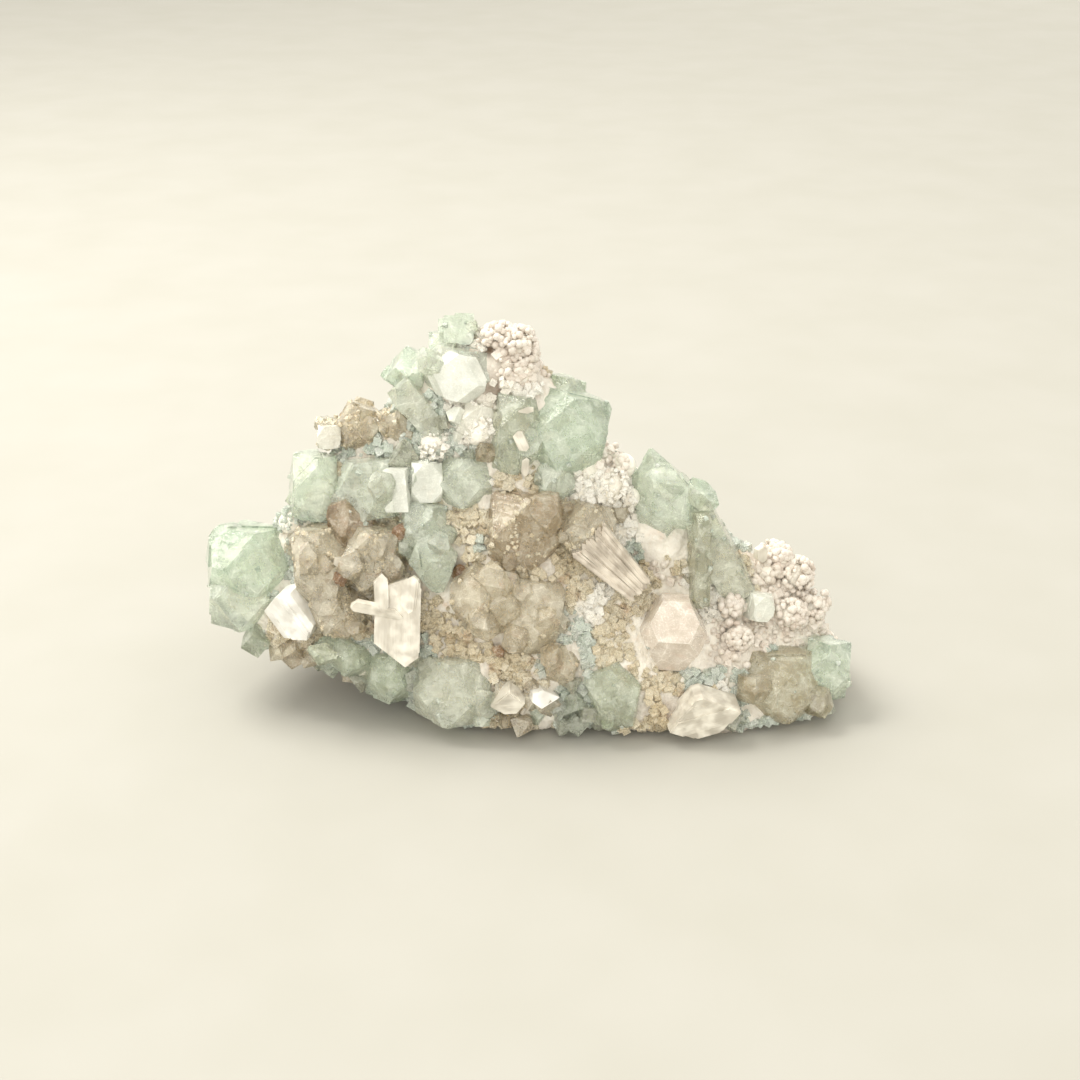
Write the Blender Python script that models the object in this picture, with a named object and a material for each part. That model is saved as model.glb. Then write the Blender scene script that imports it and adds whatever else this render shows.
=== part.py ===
# Apophyllite cluster with stilbite on a druse-covered matrix.
# Metres, +Z up. +X runs along the longest extent, +Y goes from the front to the back.
# The origin is on the surface it rests on, below the middle of its bounding box.

import math
from collections import namedtuple

import bmesh
import bpy
import numpy as np
from mathutils import Matrix, Vector, noise

MM = 0.001

# Driving dimensions, in millimetres and degrees.
FIT_GAP = 0.3
SHIFT_TO_ORIGIN = (1.455, -1.145, 0.0)
PYRAMID_SLOPE = 60.4
MATRIX_SECTIONS = 33
MATRIX_AROUND = 38
ROUGHNESS_HEIGHT = 0.55
ROUGHNESS_SIZE = 3.2
MERGE_DISTANCE = 0.0005

# A block is a tetragonal prism with basal faces and a pyramid at each end.
# size: width, depth and height. turn: lean to the right, tip to the front, twist.
# caps: how far from the middle the upper and the lower pyramid would come to a point.
Block = namedtuple("Block", "at size turn caps")

# A blade is a flat crystal with two sloping faces at each end, at the angle in ends.
Blade = namedtuple("Blade", "at size turn ends")

APOPHYLLITE = {
    "apophyllite_left": (
        Block((-32.5, -2.0, 16.5), (8.8, 8.0, 7.2), (5, -14, 12), (9.4, 10.5)),
        Block((-33.5, -3.0, 11.5), (6.8, 7.0, 5.6), (4, -14, 8), (8.5, 8.0)),
        Block((-31.5, -3.0, 8.0), (2.8, 4.0, 4.0), (-6, -10, 5), (5.0, 5.0)),
    ),
    "apophyllite_upper_left": (
        Block((-25.0, 0.0, 24.5), (5.0, 6.0, 7.0), (6, -10, 12), (8.0, 9.0)),
        Block((-18.5, -2.0, 25.0), (6.2, 6.5, 6.6), (-5, -14, -22), (9.5, 9.5)),
    ),
    "apophyllite_upper_middle": (
        Block((-12.5, -2.0, 26.0), (4.0, 5.0, 4.8), (3, -12, 10), (5.4, 5.4)),
        Block((-8.0, -2.0, 26.0), (6.2, 6.0, 5.4), (3, -10, -8), (7.6, 7.6)),
    ),
    "apophyllite_smoky": (
        Block((-23.0, 3.0, 29.5), (3.2, 4.0, 3.0), (0, -10, 8), (4.5, 4.5)),
        Block((-20.0, 3.0, 30.0), (4.4, 5.0, 5.0), (20, -10, -20), (5.2, 5.2)),
        Block((-15.5, 2.0, 30.5), (4.4, 5.0, 4.4), (-12, -5, 20), (5.0, 5.0)),
    ),
    "apophyllite_summit": (
        Block((-14.0, 4.0, 36.0), (4.6, 6.0, 4.6), (35, -10, 5), (5.6, 6.0)),
        Block((-8.5, 2.0, 37.0), (7.6, 7.0, 5.6), (8, -10, -8), (8.0, 8.4)),
        Block((-13.0, 1.0, 33.0), (3.0, 5.0, 7.0), (-42, -10, 5), (7.0, 7.0)),
        Block((-11.0, 4.0, 39.5), (2.2, 3.0, 2.4), (0, -10, 5), (2.8, 3.0)),
        Block((-9.0, 4.0, 41.0), (3.4, 4.0, 3.6), (2, -20, 5), (4.8, 5.0)),
    ),
    "apophyllite_upper_right": (
        Block((3.0, 0.0, 31.0), (8.6, 8.0, 8.4), (14, -12, -5), (8.8, 9.6)),
        Block((-3.0, -1.0, 31.0), (4.6, 6.0, 8.6), (8, -10, 15), (7.8, 8.0)),
        Block((2.5, 3.0, 34.5), (5.4, 5.0, 3.0), (10, -10, 10), (3.6, 4.0)),
        Block((1.5, -3.0, 26.5), (4.0, 4.0, 4.4), (5, 0, 20), (4.0, 5.0)),
    ),
    "apophyllite_spire": (
        Block((13.0, -1.0, 23.0), (6.2, 6.2, 12.0), (-9, -5, 8), (6.3, 7.0)),
        Block((19.5, -3.0, 18.0), (3.6, 4.5, 12.0), (-28, -10, 0), (8.6, 9.0)),
        Block((17.5, -5.5, 18.0), (2.0, 4.0, 10.5), (0, -12, 10), (7.5, 8.0)),
    ),
    "apophyllite_centre": (
        Block((-2.0, -5.0, 21.5), (7.6, 7.0, 8.0), (6, -10, 10), (9.5, 9.5)),
        Block((5.0, -5.0, 21.5), (6.2, 6.0, 5.6), (12, -8, -15), (7.0, 7.0)),
    ),
    "apophyllite_centre_low": (
        Block((-1.0, -9.0, 13.0), (7.0, 7.0, 8.0), (8, -12, -10), (8.4, 8.4)),
        Block((-6.0, -9.0, 14.5), (6.4, 6.4, 8.0), (-35, -5, 30), (6.5, 6.5)),
        Block((2.0, -10.5, 8.0), (4.2, 6.0, 5.0), (-10, -8, 20), (5.0, 5.0)),
    ),
    "apophyllite_middle": (
        Block((-11.5, -7.0, 18.5), (5.0, 5.0, 7.0), (172, 15, 40), (4.6, 5.2)),
        Block((-12.5, -5.0, 22.0), (5.0, 5.0, 4.6), (12, -8, 15), (5.6, 6.0)),
    ),
    "apophyllite_brown_left": (
        Block((-24.0, -5.0, 17.0), (6.0, 7.0, 8.6), (-4, -10, 10), (8.0, 8.0)),
        Block((-20.5, -4.0, 21.5), (5.0, 5.0, 6.6), (-25, -5, 30), (5.6, 6.0)),
        Block((-18.0, -6.0, 18.5), (5.6, 6.0, 6.6), (8, -8, -12), (7.0, 7.0)),
        Block((-22.0, -7.0, 12.5), (6.2, 6.0, 5.0), (25, -8, -10), (6.0, 6.0)),
    ),
    "apophyllite_under_left": (
        Block((-21.0, -8.0, 7.5), (7.6, 6.0, 3.8), (25, -10, 5), (5.4, 5.0)),
        Block((-16.5, -9.0, 5.5), (5.2, 6.0, 5.4), (10, -10, 10), (5.6, 5.6)),
    ),
    "apophyllite_foot_left": (
        Block((-9.5, -11.0, 5.0), (8.6, 7.0, 7.2), (4, -12, -8), (8.2, 7.6)),
    ),
    "apophyllite_foot_small": (
        Block((-0.5, -11.0, 2.3), (4.2, 5.0, 3.2), (4, -12, 10), (4.4, 3.6)),
    ),
    "apophyllite_foot_middle": (
        Block((8.0, -12.0, 4.6), (5.4, 6.0, 7.0), (-22, -10, 30), (6.4, 6.0)),
    ),
    "apophyllite_pearly": (
        Block((14.5, -9.0, 11.0), (7.4, 7.4, 8.4), (3, 5, 40), (6.2, 6.0)),
    ),
    "apophyllite_right": (
        Block((26.5, -8.0, 4.6), (8.8, 9.0, 7.4), (3, -6, 8), (8.8, 8.4)),
        Block((32.0, -6.5, 5.0), (4.8, 6.0, 6.4), (5, -12, -8), (6.6, 6.6)),
    ),
    "apophyllite_back_left": (
        Block((-24.0, 8.0, 16.0), (6.4, 6.0, 6.4), (-8, 20, 160), (7.6, 7.6)),
        Block((-28.5, 5.5, 11.5), (5.0, 5.0, 4.6), (12, 14, 195), (6.0, 6.0)),
    ),
    "apophyllite_back_top": (
        Block((-4.0, 8.5, 32.0), (5.6, 6.0, 5.2), (15, 24, 170), (6.4, 6.4)),
        Block((1.0, 8.0, 28.5), (4.4, 5.0, 4.4), (-10, 18, 200), (5.2, 5.2)),
    ),
    "apophyllite_back_right": (
        Block((17.0, 10.0, 13.0), (6.8, 6.0, 6.2), (8, 16, 190), (7.6, 7.6)),
        Block((22.0, 8.5, 8.5), (5.0, 5.0, 5.6), (-14, 10, 165), (6.2, 6.2)),
    ),
}

STILBITE = {
    "stilbite_left": (
        Blade((-27.0, -7.0, 12.0), (3.6, 3.0, 5.6), (-35, -10, -15), (50, 50)),
    ),
    "stilbite_blade": (
        Blade((-15.5, -11.0, 13.5), (5.2, 2.2, 10.8), (2, -20, 5), (50, 60)),
        Blade((-17.5, -11.2, 15.0), (1.6, 1.8, 5.4), (103, 0, 0), (50, 50)),
    ),
    "stilbite_fan": (
        Blade((8.0, -8.0, 18.5), (4.0, 2.5, 9.0), (-45, -5, 5), (50, 50)),
    ),
    "stilbite_foot": (
        Blade((-3.5, -14.0, 5.5), (3.0, 2.4, 3.8), (85, 0, 10), (40, 50)),
    ),
    "stilbite_white": (
        Blade((0.5, -13.8, 5.5), (3.2, 2.4, 2.2), (5, -10, 10), (40, 50)),
    ),
    "stilbite_front": (
        Blade((17.5, -13.5, 3.7), (5.2, 3.5, 8.2), (75, -5, 10), (50, 50)),
    ),
}

# The matrix, section by section along X: bottom, top, front, back and the ridge's Y.
Section = namedtuple("Section", "x bottom top front back ridge")
MATRIX_PROFILE = (
    Section(-35.0, 11.0, 14.0, -3.0, 2.0, -1.0),
    Section(-32.0, 8.6, 17.5, -5.0, 4.5, -1.0),
    Section(-27.5, 7.4, 21.0, -7.0, 8.0, 0.0),
    Section(-22.0, 4.8, 27.5, -8.5, 11.0, 2.0),
    Section(-17.0, 2.6, 32.0, -10.0, 13.5, 3.0),
    Section(-12.0, 0.6, 37.5, -11.5, 15.5, 3.5),
    Section(-8.0, -0.6, 39.5, -12.5, 17.0, 3.5),
    Section(-4.0, -0.8, 40.0, -13.0, 17.5, 3.0),
    Section(0.0, -0.8, 36.5, -13.0, 17.5, 2.0),
    Section(5.0, -0.8, 31.5, -13.0, 17.0, 1.0),
    Section(9.0, -0.8, 26.5, -13.0, 16.5, 0.5),
    Section(14.0, -0.8, 22.5, -13.0, 15.5, 0.0),
    Section(19.0, -0.8, 19.0, -12.5, 14.0, -0.5),
    Section(24.0, -0.6, 15.5, -11.5, 12.0, -1.0),
    Section(28.5, -0.2, 12.5, -10.0, 9.5, -1.5),
    Section(32.0, 1.0, 7.5, -8.0, 5.5, -2.0),
    Section(34.0, 2.6, 5.0, -6.0, 1.0, -2.5),
)

# The front and the back of a section: how far out from its middle, and how far up, from 0 to 1.
FRONT_SHAPE = ((0.55, 0.0), (0.92, 0.05), (0.98, 0.16), (0.78, 0.38), (0.44, 0.66), (0.24, 0.90))
BACK_SHAPE = ((0.55, 0.0), (0.90, 0.06), (1.0, 0.20), (0.92, 0.44), (0.66, 0.74), (0.34, 0.93))

# Lumps of druse on the matrix: centre and radius.
Lump = namedtuple("Lump", "at radius")
LUMPS = (
    Lump((-4.6, 3.0, 40.6), 2.1),
    Lump((-2.2, 3.0, 39.2), 2.2),
    Lump((-2.6, 1.2, 37.2), 2.0),
    Lump((-5.6, 0.6, 34.6), 2.6),
    Lump((9.4, -1.6, 27.4), 2.2),
    Lump((7.2, -2.6, 25.2), 2.4),
    Lump((9.6, -3.4, 24.0), 2.2),
    Lump((26.6, -0.4, 16.0), 2.0),
    Lump((28.4, -1.6, 13.8), 2.0),
    Lump((30.6, -2.0, 9.4), 2.2),
    Lump((22.0, -9.6, 8.8), 2.4),
    Lump((9.4, -11.6, 10.6), 2.2),
    Lump((6.2, -11.6, 12.8), 2.4),
    Lump((21.4, -7.2, 12.4), 2.4),
    Lump((-27.6, -1.0, 20.6), 2.0),
    Lump((-16.6, 1.6, 27.4), 2.4),
    Lump((-11.4, -0.6, 30.0), 2.4),
)

COLOURS = {
    "apophyllite": ("C9D6C0", 0.18),
    "stilbite": ("EFE9DC", 0.35),
    "matrix": ("CFC2AE", 0.8),
}


def clear_scene():
    for old in list(bpy.data.objects):
        bpy.data.objects.remove(old, do_unlink=True)


def new_collection(name, parent):
    made = bpy.data.collections.new(name)
    parent.children.link(made)
    return made


def linear(hex_colour):
    channels = [int(hex_colour[i:i + 2], 16) / 255 for i in (0, 2, 4)]
    return [c / 12.92 if c <= 0.04045 else ((c + 0.055) / 1.055) ** 2.4 for c in channels] + [1.0]


def new_material(name, kind):
    hex_colour, roughness = COLOURS[kind]
    made = bpy.data.materials.new(name)
    made.use_nodes = True
    shader = made.node_tree.nodes["Principled BSDF"]
    shader.inputs["Base Color"].default_value = linear(hex_colour)
    shader.inputs["Roughness"].default_value = roughness
    shader.inputs["Metallic"].default_value = 0.0
    return made


# Outward directions and distances of a block's faces, in its own axes.
def block_planes(block, grown):
    width, depth, height = (half / 2 for half in block.size)
    planes = [((side, 0, 0), width) for side in (1, -1)]
    planes += [((0, side, 0), depth) for side in (1, -1)]
    planes += [((0, 0, side), height) for side in (1, -1)]
    out = math.sin(math.radians(PYRAMID_SLOPE)) / math.sqrt(2)
    up = math.cos(math.radians(PYRAMID_SLOPE))
    for across in (1, -1):
        for along in (1, -1):
            planes.append(((across * out, along * out, up), up * block.caps[0]))
            planes.append(((across * out, along * out, -up), up * block.caps[1]))
    return [(normal, distance + grown) for normal, distance in planes]


# Outward directions and distances of a blade's faces, in its own axes.
def blade_planes(blade, grown):
    width, depth, height = (half / 2 for half in blade.size)
    planes = [((side, 0, 0), width) for side in (1, -1)]
    planes += [((0, side, 0), depth) for side in (1, -1)]
    for angle, end in zip(blade.ends, (1, -1)):
        out = math.sin(math.radians(angle))
        up = math.cos(math.radians(angle))
        planes += [((side * out, 0, end * up), up * height) for side in (1, -1)]
    return [(normal, distance + grown) for normal, distance in planes]


# A block or blade cut out of a cube, placed and turned.
def crystal_object(name, crystal, home, grown=0.0):
    planes = block_planes(crystal, grown) if isinstance(crystal, Block) else blade_planes(crystal, grown)
    cage = bmesh.new()
    bmesh.ops.create_cube(cage, size=4 * max(crystal.size) * MM)
    for normal, distance in planes:
        direction = Vector(normal).normalized()
        cut = bmesh.ops.bisect_plane(
            cage, geom=cage.verts[:] + cage.edges[:] + cage.faces[:], dist=1e-7,
            plane_co=direction * distance * MM, plane_no=direction, clear_outer=True)
        rim = [part for part in cut["geom_cut"] if isinstance(part, bmesh.types.BMEdge)]
        if rim:
            bmesh.ops.contextual_create(cage, geom=rim)
    bmesh.ops.remove_doubles(cage, verts=cage.verts, dist=1e-6)
    bmesh.ops.recalc_face_normals(cage, faces=cage.faces)
    mesh = bpy.data.meshes.new(name)
    cage.to_mesh(mesh)
    cage.free()
    made = bpy.data.objects.new(name, mesh)
    lean, tip, twist = (math.radians(angle) for angle in crystal.turn)
    made.matrix_world = (
        Matrix.Translation(Vector(crystal.at) * MM)
        @ Matrix.Rotation(lean, 4, "Y") @ Matrix.Rotation(tip, 4, "X") @ Matrix.Rotation(twist, 4, "Z"))
    home.objects.link(made)
    return made


# Values read from a curve that is smooth through the stations.
def smooth_between(stations, values, wanted):
    slopes = np.gradient(values, stations)
    index = np.clip(np.searchsorted(stations, wanted) - 1, 0, len(stations) - 2)
    span = stations[index + 1] - stations[index]
    t = (wanted - stations[index]) / span
    return (
        (2 * t ** 3 - 3 * t ** 2 + 1) * values[index] + (t ** 3 - 2 * t ** 2 + t) * span * slopes[index]
        + (3 * t ** 2 - 2 * t ** 3) * values[index + 1] + (t ** 3 - t ** 2) * span * slopes[index + 1])


# The rings of points of the matrix, one for each section along X, in millimetres.
def matrix_rings():
    profile = np.array(MATRIX_PROFILE)
    along = np.linspace(profile[0, 0], profile[-1, 0], MATRIX_SECTIONS)
    bottom, top, front, back, ridge = (
        smooth_between(profile[:, 0], profile[:, column], along) for column in range(1, 6))
    outline = [(0.0, 0.0)] + [(-a, b) for a, b in FRONT_SHAPE] + [(0.0, 1.0)]
    outline += [(a, b) for a, b in reversed(BACK_SHAPE)]
    outline = np.array(outline + outline[:1])
    corners = np.arange(len(outline))
    steps = np.linspace(0, len(outline) - 1, MATRIX_AROUND, endpoint=False)
    across = smooth_between(corners, outline[:, 0], steps)
    up = smooth_between(corners, outline[:, 1], steps)
    rings = np.empty((MATRIX_SECTIONS, MATRIX_AROUND, 3))
    rings[..., 0] = along[:, None]
    rings[..., 2] = bottom[:, None] + up * (top - bottom)[:, None]
    centre = (front + back)[:, None] / 2
    half = (back - front)[:, None] / 2
    lean = (ridge[:, None] - centre) * up
    rings[..., 1] = centre + across * half + lean
    return rings


# A loft through the sections, roughened, with a fan of faces at each end.
def matrix_object(home):
    rings = matrix_rings()
    shape = bmesh.new()
    rows = [[shape.verts.new(Vector(point) * MM) for point in ring] for ring in rings.tolist()]
    for near, far in zip(rows, rows[1:]):
        for i in range(MATRIX_AROUND):
            j = (i + 1) % MATRIX_AROUND
            shape.faces.new((near[i], near[j], far[j], far[i]))
    shape.faces.new(rows[0][::-1])
    shape.faces.new(rows[-1])
    ends = [face for face in shape.faces if len(face.verts) > 4]
    bmesh.ops.poke(shape, faces=ends)
    bmesh.ops.recalc_face_normals(shape, faces=shape.faces)
    shape.normal_update()
    moves = []
    for point in shape.verts:
        place = point.co / (ROUGHNESS_SIZE * MM)
        rough = noise.noise(place) + 0.6 * noise.noise(place * 2.1) - 0.3 * abs(noise.noise(place * 1.4))
        moves.append(point.normal * rough * ROUGHNESS_HEIGHT * 2 * MM)
    for point, move in zip(shape.verts, moves):
        point.co += move
    mesh = bpy.data.meshes.new("matrix")
    shape.to_mesh(mesh)
    shape.free()
    made = bpy.data.objects.new("matrix", mesh)
    home.objects.link(made)
    return made


def lump_object(name, lump, home):
    shape = bmesh.new()
    bmesh.ops.create_icosphere(shape, subdivisions=2, radius=lump.radius * MM)
    for point in shape.verts:
        place = point.co / (lump.radius * MM) * 1.3 + Vector(lump.at)
        point.co *= 1 + 0.22 * noise.noise(place)
    mesh = bpy.data.meshes.new(name)
    shape.to_mesh(mesh)
    shape.free()
    made = bpy.data.objects.new(name, mesh)
    made.location = Vector(lump.at) * MM
    home.objects.link(made)
    return made


# A slab below the resting surface that trims what dips under it.
def floor_object(home):
    shape = bmesh.new()
    bmesh.ops.create_cube(shape, size=1.0)
    bmesh.ops.scale(shape, vec=(0.2, 0.2, 0.02), verts=shape.verts)
    bmesh.ops.translate(shape, vec=(0, 0, -0.01), verts=shape.verts)
    mesh = bpy.data.meshes.new("floor_cutter")
    shape.to_mesh(mesh)
    shape.free()
    made = bpy.data.objects.new("floor_cutter", mesh)
    home.objects.link(made)
    return made


def add_boolean(target, operation, cutters):
    step = target.modifiers.new(operation.lower(), "BOOLEAN")
    step.operation = operation
    step.solver = "EXACT"
    step.operand_type = "COLLECTION"
    step.collection = cutters


# Gives an object its evaluated mesh, welded, and keeps its largest body.
def settle(target):
    view = bpy.context.evaluated_depsgraph_get()
    mesh = bpy.data.meshes.new_from_object(target.evaluated_get(view))
    mesh.transform(target.matrix_world)
    target.modifiers.clear()
    target.matrix_world = Matrix.Identity(4)
    shape = bmesh.new()
    shape.from_mesh(mesh)
    bmesh.ops.remove_doubles(shape, verts=shape.verts, dist=MERGE_DISTANCE * MM)
    bmesh.ops.dissolve_degenerate(shape, edges=shape.edges, dist=MERGE_DISTANCE * MM)
    bodies = sorted(separate_bodies(shape), key=len)
    for body in bodies[:-1]:
        bmesh.ops.delete(shape, geom=body, context="FACES")
    bmesh.ops.triangulate(shape, faces=shape.faces)
    shape.to_mesh(mesh)
    shape.free()
    target.data = mesh


# The faces of each body, where two faces are neighbours if only they share an edge.
def separate_bodies(shape):
    waiting = set(shape.faces)
    found = []
    while waiting:
        front = [waiting.pop()]
        body = []
        while front:
            face = front.pop()
            body.append(face)
            for edge in face.edges:
                if len(edge.link_faces) != 2:
                    continue
                for other in edge.link_faces:
                    if other in waiting:
                        waiting.discard(other)
                        front.append(other)
        found.append(body)
    return found


# One node: its crystals grown together, clear of those that were built before.
def build_group(name, kind, crystals, parts, cutters, grown_before, floor):
    members = new_collection(name + "_members", cutters)
    grown_here = []
    for number, crystal in enumerate(crystals):
        grown = crystal_object(f"{name}_socket_{number}", crystal, cutters, grown=FIT_GAP)
        grown_here.append(grown)
        if number:
            crystal_object(f"{name}_member_{number}", crystal, members)
    target = crystal_object(name, crystals[0], parts)
    if len(crystals) > 1:
        add_boolean(target, "UNION", members)
    clear = new_collection(name + "_clear", cutters)
    clear.objects.link(floor)
    for grown in grown_before:
        clear.objects.link(grown)
    add_boolean(target, "DIFFERENCE", clear)
    target.data.materials.append(new_material(name, kind))
    settle(target)
    return grown_here


def build():
    clear_scene()
    cluster = new_collection("apophyllite_cluster", bpy.context.scene.collection)
    cutters = new_collection("cutters", bpy.context.scene.collection)
    floor = floor_object(cutters)
    sockets = []
    for name, crystals in STILBITE.items():
        sockets += build_group(name, "stilbite", crystals, cluster, cutters, sockets, floor)
    for name, crystals in APOPHYLLITE.items():
        sockets += build_group(name, "apophyllite", crystals, cluster, cutters, sockets, floor)
    lumps = new_collection("lumps", cutters)
    for number, lump in enumerate(LUMPS):
        lump_object(f"lump_{number}", lump, lumps)
    socket_set = new_collection("sockets", cutters)
    socket_set.objects.link(floor)
    for grown in sockets:
        socket_set.objects.link(grown)
    rock = matrix_object(cluster)
    rock.data.materials.append(new_material("matrix", "matrix"))
    add_boolean(rock, "UNION", lumps)
    add_boolean(rock, "DIFFERENCE", socket_set)
    settle(rock)
    for hidden in cutters.all_objects:
        hidden.hide_render = True
        hidden.display_type = "WIRE"
    for piece in cluster.objects:
        piece.location = Vector(SHIFT_TO_ORIGIN) * MM


build()
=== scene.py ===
# Apophyllite cluster: green blocks, pearly stilbite and a pale sparkling druse on a cream and brown rock.
import itertools
import math

import bmesh
import bpy
import numpy as np
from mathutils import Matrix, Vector


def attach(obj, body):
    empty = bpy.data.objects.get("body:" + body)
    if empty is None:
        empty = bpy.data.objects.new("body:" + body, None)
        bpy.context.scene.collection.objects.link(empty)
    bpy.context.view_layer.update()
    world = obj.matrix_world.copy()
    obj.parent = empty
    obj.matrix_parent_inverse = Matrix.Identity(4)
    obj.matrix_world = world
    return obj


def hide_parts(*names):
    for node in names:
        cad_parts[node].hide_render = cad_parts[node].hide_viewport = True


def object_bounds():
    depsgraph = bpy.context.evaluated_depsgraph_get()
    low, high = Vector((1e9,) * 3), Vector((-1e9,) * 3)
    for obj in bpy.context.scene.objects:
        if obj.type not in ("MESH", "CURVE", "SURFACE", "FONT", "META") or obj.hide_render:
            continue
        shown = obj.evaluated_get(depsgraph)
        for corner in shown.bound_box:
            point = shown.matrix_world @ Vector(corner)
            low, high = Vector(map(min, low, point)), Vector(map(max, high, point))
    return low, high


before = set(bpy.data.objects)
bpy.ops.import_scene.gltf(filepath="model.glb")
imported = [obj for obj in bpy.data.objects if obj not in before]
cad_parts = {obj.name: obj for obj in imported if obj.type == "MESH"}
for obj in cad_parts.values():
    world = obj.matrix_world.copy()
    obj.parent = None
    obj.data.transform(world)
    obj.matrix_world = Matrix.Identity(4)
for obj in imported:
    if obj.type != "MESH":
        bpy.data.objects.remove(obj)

mm = 0.001
cadBox = [list(corner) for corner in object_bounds()]
boxLow, boxHigh = (np.array(corner) / mm for corner in cadBox)
shift = np.array((1.455, -1.145, 0.0))    # from the layout's origin to the frame's, in millimetres
pyramidSlope = math.radians(60.4)         # apophyllite's pyramid faces over its basal plane
faceOut, faceUp = math.sin(pyramidSlope) / math.sqrt(2), math.cos(pyramidSlope)
margin = 0.01                             # what lies against the solids' box stays this far inside it


# sRGB hex to linear light, by the standard curve.
def linear(code):
    channels = np.array([int(code[i:i + 2], 16) / 255 for i in (0, 2, 4)])
    return (*np.where(channels <= 0.04045, channels / 12.92, ((channels + 0.055) / 1.055) ** 2.4), 1.0)


# Adds one node and gives back one of its outputs. A setting is a property, or an input by its name or number,
# and its value is a plain one, a hex colour or an output to link from.
def addNode(tree, kind, settings, output=0):
    node = tree.nodes.new("ShaderNode" + kind)
    for name, value in settings.items():
        if isinstance(name, str) and name not in node.inputs:
            setattr(node, name, value)
        elif isinstance(value, bpy.types.NodeSocket):
            tree.links.new(value, node.inputs[name])
        else:
            node.inputs[name].default_value = linear(value) if isinstance(value, str) else value
    return node.outputs[output] if len(node.outputs) else None


# Each vector divided by its length.
def unit(vectors):
    return vectors / np.maximum(np.linalg.norm(vectors, axis=-1, keepdims=True), 1e-9)


# A hashed number from 0 to 1 for each corner of a cubic lattice.
def hashed(lattice, seed):
    mixed = (lattice[..., 0] * 73856093) ^ (lattice[..., 1] * 19349663) ^ (lattice[..., 2] * 83492791)
    mixed = (mixed ^ (seed * 2654435761)) & 0xFFFFFFFF
    mixed = ((mixed ^ (mixed >> 13)) * 1274126177) & 0xFFFFFFFF
    mixed = ((mixed ^ (mixed >> 16)) * 2246822519) & 0xFFFFFFFF
    return (mixed >> 8 & 0xFFFF) / 65535


# Value noise: lattice numbers blended by 3f^2 - 2f^3 inside each cell, from -1 to 1.
def valueNoise(points, cell, seed=0):
    place = points / cell
    base = np.floor(place).astype(np.int64)
    part = place - base
    part = part * part * (3 - 2 * part)
    total = np.zeros(points.shape[:-1])
    for corner in itertools.product((0, 1), repeat=3):
        weight = np.prod(np.where(corner, part, 1 - part), axis=-1)
        total += weight * hashed(base + np.array(corner), seed)
    return total * 2 - 1


# The sum of octaves of value noise, each half as coarse and "fall" times as strong as the one before.
def roughNoise(points, cell, octaves, seed=0, fall=0.5):
    return sum(valueNoise(points, cell / 2 ** i, seed + i) * fall ** i for i in range(octaves))


# Height of packed domes: sqrt(1 - (distance to the nearest hashed point / radius)^2), from 0 to 1.
def domes(points, cell, seed=0, reach=0.75):
    place = points / cell
    base = np.floor(place).astype(np.int64)
    best = np.full(points.shape[:-1], 9.0)
    for corner in itertools.product((-1, 0, 1), repeat=3):
        near = base + np.array(corner)
        centre = near + 0.5 + 0.42 * (2 * np.stack([hashed(near, seed + i) for i in range(3)], -1) - 1)
        best = np.minimum(best, ((place - centre) ** 2).sum(-1))
    return np.sqrt(np.clip(1 - best / reach ** 2, 0, 1))


# Rotation matrix: lean about Y, then tip about X, then twist about Z, in degrees.
def turned(turn):
    lean, tip, twist = (math.radians(angle) for angle in turn)
    cosY, cosX, cosZ = math.cos(lean), math.cos(tip), math.cos(twist)
    sinY, sinX, sinZ = math.sin(lean), math.sin(tip), math.sin(twist)
    aboutY = np.array(((cosY, 0, sinY), (0, 1, 0), (-sinY, 0, cosY)))
    aboutX = np.array(((1, 0, 0), (0, cosX, -sinX), (0, sinX, cosX)))
    aboutZ = np.array(((cosZ, -sinZ, 0), (sinZ, cosZ, 0), (0, 0, 1)))
    return aboutY @ aboutX @ aboutZ


# A mesh object at the origin from points in millimetres and lists of corners.
def makeMesh(name, points, faces, material=None, smooth=False):
    mesh = bpy.data.meshes.new(name)
    mesh.from_pydata((np.asarray(points) * mm).tolist(), [], faces)
    if smooth:
        mesh.polygons.foreach_set("use_smooth", np.ones(len(faces), bool))
    if material:
        mesh.materials.append(material)
    made = bpy.data.objects.new(name, mesh)
    bpy.context.scene.collection.objects.link(made)
    return made


# Quads between rings that follow each other: a corner, the next one round, and the two above them.
def ringQuads(around, rings):
    spot = np.arange(around)
    after, row = (spot + 1) % around, np.arange(rings - 1)[:, None] * around
    return np.stack([row + spot, row + after, row + around + after, row + around + spot], -1).reshape(-1, 4)


# Triangles that close the first and the last ring to the two points that follow all the rings.
def endTriangles(around, rings):
    spot = np.arange(around)
    after, lastRing, pole = (spot + 1) % around, around * (rings - 1), around * rings
    return np.concatenate([np.stack([after, spot, np.full(around, pole)], 1),
                           np.stack([spot + lastRing, after + lastRing, np.full(around, pole + 1)], 1)])


# One mesh of many like solids: the faces of each are the patterns' corners, counted on from its first one.
def manyAlike(name, solids, patterns, material, smooth):
    first = np.arange(len(solids))[:, None, None] * int(np.prod(solids.shape[1:-1]))
    faces = []
    for pattern in patterns:
        faces += (first + pattern).reshape(-1, pattern.shape[1]).tolist()
    return makeMesh(name, solids.reshape(-1, 3), faces, material, smooth)


# One property of every face, edge or corner of a mesh, as an array of rows.
def valuesOf(elements, name, kind, width):
    values = np.empty((len(elements), width), kind)
    elements.foreach_get(name, values.ravel())
    return values


# One value per point or per face corner, for the materials to read.
def setAttribute(mesh, name, kind, domain, values):
    layer = mesh.attributes.new(name, kind, domain)
    field = "vector" if kind == "FLOAT_VECTOR" else "value"
    layer.data.foreach_set(field, np.asarray(values, np.float32).ravel())


# Materials

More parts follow.
